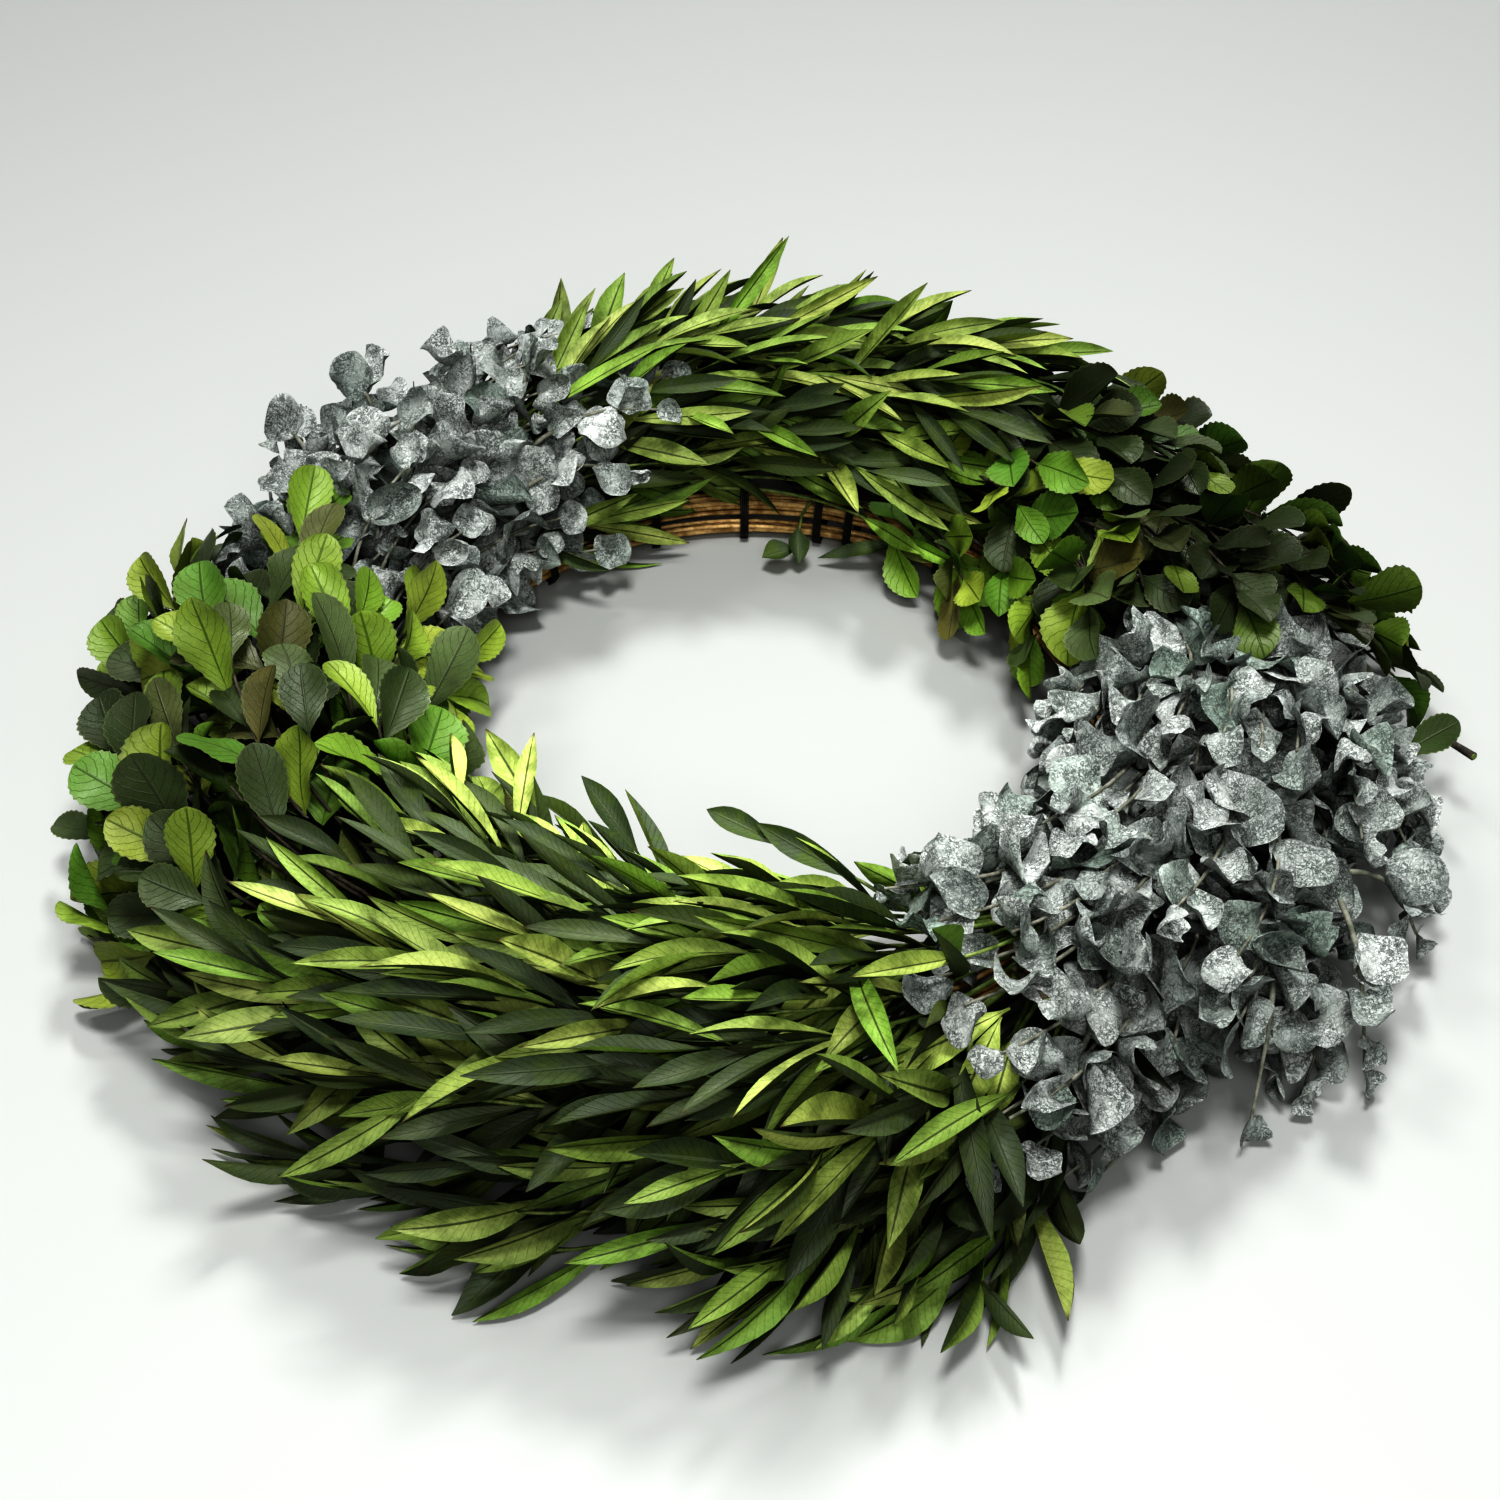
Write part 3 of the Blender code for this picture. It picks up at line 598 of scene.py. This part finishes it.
# %% Finish of the eucalyptus leaves
def eucalyptus_leaf():
    f = Finish("eucalyptus_leaf", Specular_IOR_Level=0.3)
    s, w, pick = f.place()
    where = f.add("TexCoord", {}, out="Object")
    warp = f.add("TexNoise", {"Vector": where, "Scale": 240.0, "Detail": 3.0}, out="Color")
    bent = f.add("Mix", {0: 0.016, 6: where, 7: warp}, out=2, data_type="RGBA", blend_type="ADD")
    patch = f.noise(110.0, 5.0)
    cloud = f.noise(38.0, 3.0)
    colour = f.ramp(pick, (0.0, (0.40, 0.44, 0.41)), (0.4, (0.58, 0.61, 0.58)),
                    (0.8, (0.64, 0.67, 0.64)), (1.0, (0.34, 0.42, 0.36)))
    colour = f.mix(f.smooth(cloud, 0.48, 0.7, 0.0, 0.5), colour, (0.29, 0.36, 0.31))
    lines = None
    for scale, width, share in ((150.0, 0.050, 1.0), (340.0, 0.085, 0.9)):
        cell = f.add("TexVoronoi", {"Vector": bent, "Scale": scale}, feature="DISTANCE_TO_EDGE")
        crack = f.math("MULTIPLY", f.smooth(cell, 0.01, width, 1.0, 0.0), share)
        lines = crack if lines is None else f.math("MAXIMUM", lines, crack)
    lines = f.math("MULTIPLY", lines, f.smooth(patch, 0.34, 0.56, 0.35, 1.0))
    smudge = f.smooth(f.noise(620.0, 8.0, 0.75), 0.49, 0.60)
    smudge = f.math("MULTIPLY", smudge, f.smooth(patch, 0.38, 0.60, 0.15, 0.9))
    slope = f.math("SUBTRACT", f.math("MULTIPLY", s, 5.0), f.math("MULTIPLY", w, 1.8))
    vein = f.smooth(f.math("ABSOLUTE", f.math("SUBTRACT", f.math("FRACT", slope), 0.5)), 0.0, 0.06, 0.6, 0.0)
    dark = f.math("MAXIMUM", f.math("MULTIPLY", lines, 0.9), f.math("MAXIMUM", smudge, vein))
    colour = f.mix(dark, colour, (0.085, 0.102, 0.092))
    midrib = f.smooth(w, 0.01, 0.05, 1.0, 0.0)
    colour = f.mix(f.math("MULTIPLY", midrib, 0.35), colour, (0.5, 0.52, 0.48))
    # Painted highlight: a pale rim along the leaf's edge stands for rim light
    colour = f.mix(f.smooth(w, 0.93, 1.0, 0.0, 0.35), colour, (0.55, 0.57, 0.54))
    # Painted shade on the leaves deep in the foliage
    colour = f.shaded(colour, 0.45)
    height = f.math("SUBTRACT", f.math("MULTIPLY", f.noise(300.0, 6.0), 1.2), f.math("MULTIPLY", lines, 0.5))
    return f.done(colour, f.smooth(patch, 0.3, 0.7, 0.52, 0.78), height, 0.0007)


# %% [markdown]
# ## Stems, twigs and thread
# Stems are dry bark or skin with fine lengthwise streaks. Thread is nearly black and slightly waxed.

# %% Finishes of stems, twigs and thread
def stem_finish(name, pale, dark, roughness=0.7):
    """Streaky dry bark between two colours."""
    f = Finish(name, IOR=1.4)
    spots = f.noise(180.0, 6.0)
    streak = f.noise(1400.0, 2.0)
    colour = f.mix(f.smooth(spots, 0.35, 0.65), pale, dark)
    colour = f.mix(f.smooth(streak, 0.4, 0.6, 0.0, 0.4), colour, (0.5, 0.45, 0.4), "MULTIPLY")
    colour = f.mix(f.smooth(f.noise(14.0), 0.4, 0.7, 0.0, 0.6), colour, dark)
    height = f.math("ADD", f.math("MULTIPLY", spots, 0.5), f.math("MULTIPLY", streak, 0.5))
    return f.done(colour, f.smooth(spots, 0.3, 0.7, roughness, roughness + 0.15), height)


finishes = {
    "lance": narrow_leaf(),
    "broad": broad_leaf(),
    "round": eucalyptus_leaf(),
    "green_stem": stem_finish("green_stem", (0.26, 0.33, 0.11), (0.10, 0.15, 0.04), 0.5),
    "pale_stem": stem_finish("pale_stem", (0.30, 0.30, 0.25), (0.11, 0.12, 0.09)),
    "woody_stem": stem_finish("woody_stem", (0.10, 0.085, 0.06), (0.030, 0.027, 0.020)),
    "twig_bark": stem_finish("twig_bark", (0.78, 0.55, 0.26), (0.32, 0.19, 0.07)),
    "tie_thread": stem_finish("tie_thread", (0.020, 0.017, 0.014), (0.008, 0.007, 0.006), 0.45),
}
print("finishes", sorted(finishes))

# %% [markdown]
# ## How each bunch is dressed
# These numbers tell the kinds and the bunches apart: which share of the leaves turn their light face up,
# how dark a bunch is at the outside, and how the leaves of the added stems differ from the solids'.

# %% How each bunch is dressed
STEM_SLOT = {"lance": "green_stem", "broad": "woody_stem", "round": "pale_stem"}
# Share of light faces among the inner leaves and among the outer ones
LIGHT_SHARE = {name: (0.63, 0.63) for name, *rest in BUNCHES}
LIGHT_SHARE.update(broad_left_back=(0.75, 0.60), broad_left_front=(0.65, 0.35),
                   broad_back_right=(0.92, 0.25), broad_right=(0.25, 0.12))
DARKER = {"broad_right": 0.82, "broad_back_right": 0.72}
# Leaves of the added stems: shares of the lean, of the pitch, and of the length and width
FINER = {
    "lance": (0.5, 0.70, (1.08, 0.73)),
    "broad": (0.65, 0.82, (1.05, 0.84)),
    "round": (0.9, 0.82, (0.94, 0.97)),
}
SPRAY_ROUND_SIZE = (0.74, 0.78)
# Length of bare stem at the foot of a bunch's stem and of a spray
BARE = 0.042
BARE_SPRAY = 0.006
print("dressed", sorted(FINER))

# %% [markdown]
# ## Loose leaves
# Some leaves stand out of the foliage on their own. Each has a root and a tip, measured from the middle
# of the ring, a width and a colour. Twiglets are the short stems that carry some of them.

# %% Loose leaves and their twiglets
# Random number that gives a loose leaf its colour
LOOSE_PICK = {"bright": 0.8, "dull": 0.2, "brown": 2.0}
LOOSE = {
    "broad_right": (((0.2745, -0.0402, 0.034), (0.3086, -0.0231, 0.045), 0.0150, "dull"),),
    "broad_back_right": (((0.1169, 0.1665, 0.085), (0.1640, 0.1680, 0.089), 0.0270, "bright"),),
    "broad_left_front": (((-0.2560, -0.0872, 0.036), (-0.2980, -0.0714, 0.030), 0.0130, "dull"),),
    "lance_front_right": (((0.0911, -0.2038, 0.076), (0.0411, -0.2249, 0.062), 0.0145, "bright"),
                          ((0.0880, -0.2060, 0.074), (0.0709, -0.2350, 0.058), 0.0130, "bright"),
                          ((0.0935, -0.2072, 0.066), (0.0835, -0.2309, 0.048), 0.0120, "bright"),
                          ((0.0420, -0.1860, 0.084), (0.0053, -0.2117, 0.068), 0.0150, "bright"),
                          ((0.0685, -0.2116, 0.068), (0.0364, -0.2400, 0.052), 0.0125, "bright")),
    "lance_front": (((0.0445, -0.1159, 0.042), (0.0020, -0.0940, 0.050), 0.0110, "dull"),
                    ((0.0130, -0.1010, 0.046), (-0.0203, -0.0833, 0.054), 0.0105, "dull")),
    "lance_front_left": (((-0.0770, -0.1062, 0.052), (-0.1058, -0.0693, 0.085), 0.0135, "bright"),
                         ((-0.0440, -0.1026, 0.042), (-0.0679, -0.0771, 0.062), 0.0110, "dull")),
    "lance_back_left": (((-0.1018, 0.1813, 0.082), (-0.0980, 0.1430, 0.078), 0.0120, "brown"),),
    "lance_back_right": (((0.0240, 0.1420, 0.016), (0.0240, 0.1230, 0.010), 0.0120, "dull"),
                         ((0.0230, 0.1330, 0.010), (0.0060, 0.1270, 0.010), 0.0130, "dull"),
                         ((0.0860, 0.1290, 0.018), (0.0330, 0.1290, 0.011), 0.0075, "dull")),
}

# Short stems that carry the loose leaves, from the foliage to the leaf
TWIGLETS = {
    "lance_front": (((0.0780, -0.1420, 0.038), (0.0445, -0.1159, 0.042), (0.0150, -0.1018, 0.046)),),
    "lance_back_right": (((0.0340, 0.1620, 0.024), (0.0262, 0.1500, 0.018), (0.0232, 0.1335, 0.010)),
                         ((0.1060, 0.1380, 0.026), (0.0860, 0.1290, 0.018))),
    "broad_right": (((0.2500, -0.0560, 0.034), (0.2745, -0.0402, 0.034)),),
}


def loose_leaf(root, tip, width, arch=0.05, fold=0.25):
    """A single leaf between two points given from the middle of the ring."""
    root, tip = CENTRE + Vector(root), CENTRE + Vector(tip)
    direction = (tip - root).normalized()
    face = Vector((0, -0.5, 1.0))
    face = (face - direction * face.dot(direction)).normalized()
    return root, direction, face, (tip - root).length, width, arch, fold


print("loose leaves", sum(len(found) for found in LOOSE.values()))

# %% [markdown]
# ## Pieces and tubes
# Every piece rides on the wreath's one body and has a slot for its material. Stems, twigs and threads
# are all tubes along a list of points.

# %% Pieces and tubes
def link(name, mesh, finish):
    """Put a mesh in the scene as a piece of the wreath."""
    mesh.materials.append(finishes[finish])
    piece = bpy.data.objects.new(name, mesh)
    bpy.context.scene.collection.objects.link(piece)
    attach(piece, "root")
    return piece


def tubes(name, lines, sides=2):
    """Mesh of round tubes, one for each list of points with radii."""
    data = bpy.data.curves.new(name, "CURVE")
    data.dimensions = "3D"
    data.bevel_depth = 1.0
    data.bevel_resolution = sides
    data.use_fill_caps = True
    for points, radii in lines:
        spline = data.splines.new("POLY")
        spline.points.add(len(points) - 1)
        spline.points.foreach_set("co", np.column_stack([points, np.ones(len(points))]).ravel())
        spline.points.foreach_set("radius", np.asarray(radii, float))
    holder = bpy.data.objects.new(name, data)
    bpy.context.scene.collection.objects.link(holder)
    mesh = bpy.data.meshes.new_from_object(holder.evaluated_get(bpy.context.evaluated_depsgraph_get()))
    bpy.data.objects.remove(holder)
    mesh.name = name
    mesh.shade_smooth()
    mesh.set_sharp_from_angle(angle=math.radians(60))
    return mesh


# %% [markdown]
# ## Blades that don't cut each other
# Thin blades packed by chance would cut through one another. The crowd keeps a search tree of each blade
# placed so far, and takes a new one only if it crosses none of them.

# %% The crowd of blades
class Crowd:
    """The blades placed so far, to tell whether a new one would cut through them."""

    def __init__(self):
        self.low, self.high, self.trees = [], [], []

    def admits(self, blade):
        rows, columns, _ = blade.shape
        spots = blade.reshape(-1, 3)
        low, high = spots.min(axis=0), spots.max(axis=0)
        quads = [(i * columns + j, i * columns + j + 1, (i + 1) * columns + j + 1, (i + 1) * columns + j)
                 for i in range(2, rows - 1) for j in range(columns - 1)]
        tree = BVHTree.FromPolygons(spots.tolist(), quads)
        if self.trees:
            near = np.all((np.array(self.low) < high) & (np.array(self.high) > low), axis=1)
            if any(tree.overlap(self.trees[i]) for i in np.flatnonzero(near)):
                return False
        self.low.append(low)
        self.high.append(high)
        self.trees.append(tree)
        return True


# %% [markdown]
# ## Where leaves may grow
# Leaves stay clear of the tips of the bunches before, of the bare strip of the twig ring at the back of
# the hole, and of the dips in the outline between sprays. None stands higher than the solids' height and
# 3 %, plus 10 mm.

# %% Where leaves may grow
# Less half a millimetre, for the thickness of a blade
HIGHEST = solid_box[1][2] * 1.03 + 0.010 - 0.0005
# Angle from which the leaves of a bunch show: before it they lie under the tips of the bunches before.
COVER = {"lance_front_right": 292, "lance_front": 288, "broad_left_front": 218, "eucalyptus_left": 172,
         "eucalyptus_back_left": 172, "lance_back_left": 124, "lance_back": 124, "broad_back_right": 58,
         "eucalyptus_right": 8, "eucalyptus_front_right": 8}
# Dips in the outline between sprays: middle angle, half width, and how far out leaves may start there.
DIPS = ((265, 5, 0.236), (328, 4, 0.262), (315, 3, 0.262), (304, 3, 0.240), (246, 3, 0.250))
# Bare strip of the twig ring: its angles, and how far in and how low it lies
STRIP = (68, 117)
STRIP_ACROSS = -0.030
STRIP_HEIGHT = 0.042
# Leaves with roots below LOW_ROOT show for COVER_LOW degrees more, and those below DIP_HEIGHT make dips
LOW_ROOT = 0.040
COVER_LOW = 9
DIP_HEIGHT = 0.045


def spot_of(point):
    """Angle in degrees, distance out from the middle line of the leaf ring, and height of a point."""
    x, y = point[0] - CENTRE.x, point[1] - CENTRE.y
    return math.degrees(math.atan2(y, x)), math.hypot(x, y) - LEAF_RING_R, point[2]


def depth_of(point):
    """How deep in the foliage a point is, from 0 at the outside to 1 at the core."""
    angle, across, height = spot_of(point)
    away = math.hypot(across / (0.080 if across > 0 else 0.058), (height - 0.022) / 0.072)
    return max(0.0, min(1.0, 1.42 - away))


def shows(root, name):
    """Whether a leaf with this root stands clear of the tips of the bunches before."""
    angle, across, height = spot_of(root)
    on_strip = STRIP[0] < angle < STRIP[1] and across < STRIP_ACROSS and height < STRIP_HEIGHT
    if name.startswith("lance_back") and on_strip:
        return False
    past = angle - COVER.get(name, 0) - (COVER_LOW if height < LOW_ROOT else 0)
    for middle, half, reach in DIPS:
        near = abs((angle - middle + 180) % 360 - 180) < half
        if near and across + LEAF_RING_R > reach and height < DIP_HEIGHT:
            return False
    return name not in COVER or (past + 180) % 360 < 180 or (height < LOW_ROOT and across < 0.0)


def past_end(name, angle, across, height):
    """Whether a tip would reach over the broad leaves at the left, or out under the eucalyptus."""
    if name == "lance_front_right":
        return -67 < angle < -30 and across > 0.020 and height < 0.050
    return name == "lance_front_left" and -180 < angle < -147 and across > -0.055 and height > 0.045


print("leaves may stand", round(1000 * HIGHEST), "mm high")

# %% [markdown]
# ## Plan the leaves of a bunch
# Loose leaves come first, then those of the solids' stems, which keep the places that they have in the
# solids. The stems between them get theirs last, leaning a little less. Every leaf is then planned four
# times, each time turned further, so that one that doesn't fit has three more tries.

# %% Plan the leaves of a bunch
def planned_leaves(place, name, kind):
    """Leaves of a bunch, and how many of them are loose or come from the solids."""
    leaves = []
    for number, points in solid_stems[name]:
        leaves += leaves_on(kind, points, 1000 * place + 37 * number + 5)
    leaves = [leaf for leaf in leaves if shows(leaf[0], name)]
    leaves = [loose_leaf(*spots[:3]) for spots in LOOSE.get(name, ())] + leaves
    first = len(leaves)
    lean, pitch, fine_size = FINER[kind]
    spray_start = len(fill_stems[name]) - len(SPRAYS.get(name, ()))
    added = []
    for number, points in enumerate(fill_stems[name]):
        spray = number >= spray_start
        size = SPRAY_ROUND_SIZE if spray and kind == "round" else fine_size
        added += leaves_on(kind, points, 50000 + 1000 * place + 37 * number, lean, pitch, size,
                           bare=BARE_SPRAY if spray else BARE)
    return leaves + [leaf for leaf in added if shows(leaf[0], name)], first


def versions(leaves, first, rng):
    """Four rounds of the leaves, each turned further at random; the solids' own start as planned."""
    turned = []
    for turn in (0.0, 0.12, 0.22, 0.34):
        for i, (root, direction, face, length, *rest) in enumerate(leaves):
            if turn or i >= first:
                direction = (direction + turn * Vector(rng.normal(size=3))).normalized()
                face = face + (turn + 0.22) * Vector(rng.normal(size=3))
                face = (face - direction * face.dot(direction)).normalized()
                length *= rng.uniform(0.80, 1.08)
            turned.append((root, direction, face, length, *rest))
    return turned


print("planned", len(planned_leaves(0, *BUNCHES[0][:2])[0]), "leaves for", BUNCHES[0][0])

# %% [markdown]
# ## Choose and colour the blades
# The solids' own leaves choose first, and then the outermost. Leaves deep in the foliage get painted shade,
# and the stems end at their last leaf.

# %% Choose and colour the blades
def chosen_blades(name, kind, points, count, first, deep):
    """Numbers of the blades that are kept, at most one version of each leaf."""
    columns = [0, COLUMNS[kind] // 2, COLUMNS[kind]]
    kept = []
    for leaf in sorted(range(count), key=lambda i: (i >= first, deep[i])):
        for i in range(leaf, len(points), count):
            tip = spot_of(points[i][-1].mean(axis=0))
            if points[i][..., 2].max() >= HIGHEST or past_end(name, *tip):
                continue
            if crowd.admits(points[i][::2][:, columns]):
                kept.append(i)
                break
    return kept


def leaf_values(name, blades, deep, kept, rng):
    """Light face up or not, depth in the foliage and own random number of each blade."""
    outer = np.array([spot_of(blade.mean(axis=(0, 1)))[1] > -0.030 for blade in blades])
    deep = np.maximum(deep, np.where(outer, DARKER.get(name, 0.0), 0.0))
    inner_share, outer_share = LIGHT_SHARE[name]
    light = (rng.uniform(0, 1, len(kept)) < np.where(outer, outer_share, inner_share)).astype(float)
    pick = rng.uniform(0, 1, len(kept))
    loose = LOOSE.get(name, ())
    for spot, i in enumerate(kept):
        if i < len(loose):
            light[spot] = loose[i][3] != "dull"
            deep[spot] = 0.0
            pick[spot] = LOOSE_PICK[loose[i][3]]
    return light, deep, pick


def stem_lines(name, roots):
    """Lines of points and radii for the stems of a bunch, each as far as its last leaf."""
    lines = []
    for line in [line for number, line in solid_stems[name]] + fill_stems[name]:
        near = [i for i, spot in enumerate(line) if np.linalg.norm(roots - spot, axis=1).min() < 0.010]
        if near and near[-1] > 1:
            lines.append((line[:near[-1] + 1], np.linspace(0.0013, 0.0006, near[-1] + 1)))
    for spots in TWIGLETS.get(name, ()):
        lines.append(([CENTRE + Vector(spot) for spot in spots], np.linspace(0.0009, 0.0006, len(spots))))
    return lines


# %% [markdown]
# ## Grow the bunches
# The leaves of a bunch are one mesh, which replaces its solid, and its stems are a second one.

# %% Grow the bunches
crowd = Crowd()
total = 0
for place, (name, kind, *rest) in enumerate(BUNCHES):
    leaves, first = planned_leaves(place, name, kind)
    rng = np.random.default_rng(place + 1)
    points, s, w = blade_points(kind, versions(leaves, first, rng), rng)
    # How deep each blade lies in the foliage; the finishes turn this into painted shade
    deep = np.array([depth_of(blade.mean(axis=(0, 1))) for blade in points])
    kept = chosen_blades(name, kind, points, len(leaves), first, deep)
    blades = points[kept]
    light, dark, pick = leaf_values(name, blades, deep[kept], kept, rng)
    mesh = leaves_mesh(name + "_leaves", blades, s, w, light, dark, pick)
    piece = link(name + "_leaves", mesh, kind)
    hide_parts(name)
    lines = stem_lines(name, blades[:, 0].mean(axis=1))
    stems = link(name + "_stems", tubes(name + "_stems", lines), STEM_SLOT[kind])
    total += len(mesh.polygons) * 2 + len(stems.data.polygons) * 2
    print(name, len(leaves), "leaves tried,", len(kept), "kept,", len(mesh.polygons) * 2, "triangles")
print("triangles in leaves and stems", total)

# %% [markdown]
# ## Cut ends
# Three cut stems stick out of the foliage, each with a dark bark rim and a bright green middle.

# %% Cut stem ends
CUT_ENDS = ((0.1037, -0.2025, 0.078), (0.1822, -0.1828, 0.062), (0.3094, -0.0399, 0.036))
rims, middles = [], []
for spot in CUT_ENDS:
    end = CENTRE + Vector(spot)
    back = Vector((-0.35, 0.80, -0.25)).normalized()
    rims.append(([end + 0.022 * back, end], [0.0014, 0.0019]))
    middles.append(([end + 0.002 * back, end - 0.0005 * back], [0.0015, 0.0014]))
link("cut_stem_rims", tubes("cut_stem_rims", rims, sides=3), "woody_stem")
link("cut_stem_middles", tubes("cut_stem_middles", middles, sides=3), "green_stem")
print("cut ends", len(CUT_ENDS))

# %% [markdown]
# ## The twig ring
# Thin golden twigs are pressed side by side into a ring. Each runs part of the way round, wanders
# slowly among the others, and tapers to its end.

# %% Twig ring
TWIG_PLACES = ((0.0062, 0.0079), (0.0, 0.0179), (-0.0062, 0.0079))
TWIG_R = 0.0064
rng = random.Random(11)
lines = []
for number in range(36):
    across, height = TWIG_PLACES[number % 3]
    radius = rng.uniform(0.0009, 0.0016)
    off = (TWIG_R - radius - 0.0003) * math.sqrt(rng.uniform(0.02, 1.0))
    phase, swirl = rng.uniform(0, 360), rng.uniform(-0.8, 0.8)
    start, sweep = rng.uniform(0, 360), rng.uniform(170, 300)
    steps = int(sweep / 5)
    points, radii = [], []
    for i in range(steps + 1):
        angle = start + sweep * i / steps
        turn = math.radians(phase + swirl * (angle - start))
        middle = FOOT_ACROSS + across + off * math.cos(turn)
        points.append(ring_point(angle, middle, height + off * math.sin(turn)))
        radii.append(radius * min(1.0, 0.45 + 0.1 * min(i, steps - i)))
    lines.append((points, radii))
twigs = link("twig_ring_twigs", tubes("twig_ring_twigs", lines), "twig_bark")
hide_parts("twig_ring")
print("twigs", len(lines), "faces", len(twigs.data.polygons))

# %% [markdown]
# ## Ties
# Each bunch is bound by four turns of dark thread round the ring and its foot, and two more ties hold
# the back of the ring.

# %% Ties
TURNS = 4
TURN_PITCH = 0.0011
THREAD_R = 0.0006
TIE_PATH = ((0.0110, 0.0005), (0.0152, 0.0070), (0.0122, 0.0200), (0.0040, 0.0299),
            (-0.0040, 0.0299), (-0.0122, 0.0200), (-0.0152, 0.0070), (-0.0110, 0.0005))
for number, angle in enumerate([bunch[2] for bunch in BUNCHES] + [91.0, 71.0], 1):
    loop = []
    for turn in range(TURNS):
        for i, (x, z) in enumerate(TIE_PATH):
            slip = (turn + i / len(TIE_PATH) - TURNS / 2) * TURN_PITCH
            here = angle + math.degrees(slip / TWIG_RING_R)
            loop.append(ring_point(here, FOOT_ACROSS + x, max(z, THREAD_R)))
    name = f"tie_{number:02d}_thread"
    thread = link(name, tubes(name, [(loop, [THREAD_R] * len(loop))], sides=1), "tie_thread")
    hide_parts(f"tie_{number:02d}")
print("ties", number)

# %% [markdown]
# ## Table and light
# A plain white table and large soft lights: the strongest comes from above and behind, so the wreath's
# shadow falls softly towards the viewer.

# %% Table and light
bpy.ops.mesh.primitive_plane_add(size=6)
table = bpy.context.active_object
table.name = "table"
white = Finish("table_white", IOR=1.4)
white.done((0.364, 0.373, 0.360), 0.6, white.noise(400.0), 0.00002)
table.data.materials.append(white.material)

world = bpy.data.worlds.new("room")
world.use_nodes = True
world.node_tree.nodes["Background"].inputs["Color"].default_value = (0.95, 0.97, 1.0, 1.0)
world.node_tree.nodes["Background"].inputs["Strength"].default_value = 0.14
bpy.context.scene.world = world
# Name, kind, place, angle in degrees or size in metres, and power
LAMPS = (
    ("back", "SUN", (0.15, 0.80, 1.00), 10.0, 1.5),
    ("back_left", "SUN", (-0.60, 0.45, 1.00), 14.0, 0.6),
    ("above", "AREA", (0.00, -0.20, 1.60), 0.35, 16.0),
    ("front", "AREA", (0.10, -1.20, 1.20), 0.80, 8.5),
)
for name, kind, spot, size, power in LAMPS:
    lamp = bpy.data.lights.new(name, kind)
    lamp.energy = power
    if kind == "SUN":
        lamp.angle = math.radians(size)
    else:
        lamp.size = size
    holder = bpy.data.objects.new(name, lamp)
    holder.location = spot
    holder.rotation_euler = (-Vector(spot)).to_track_quat("-Z", "Y").to_euler()
    bpy.context.scene.collection.objects.link(holder)
bpy.context.scene.view_settings.view_transform = "Standard"
bpy.context.scene.view_settings.look = "Very High Contrast"
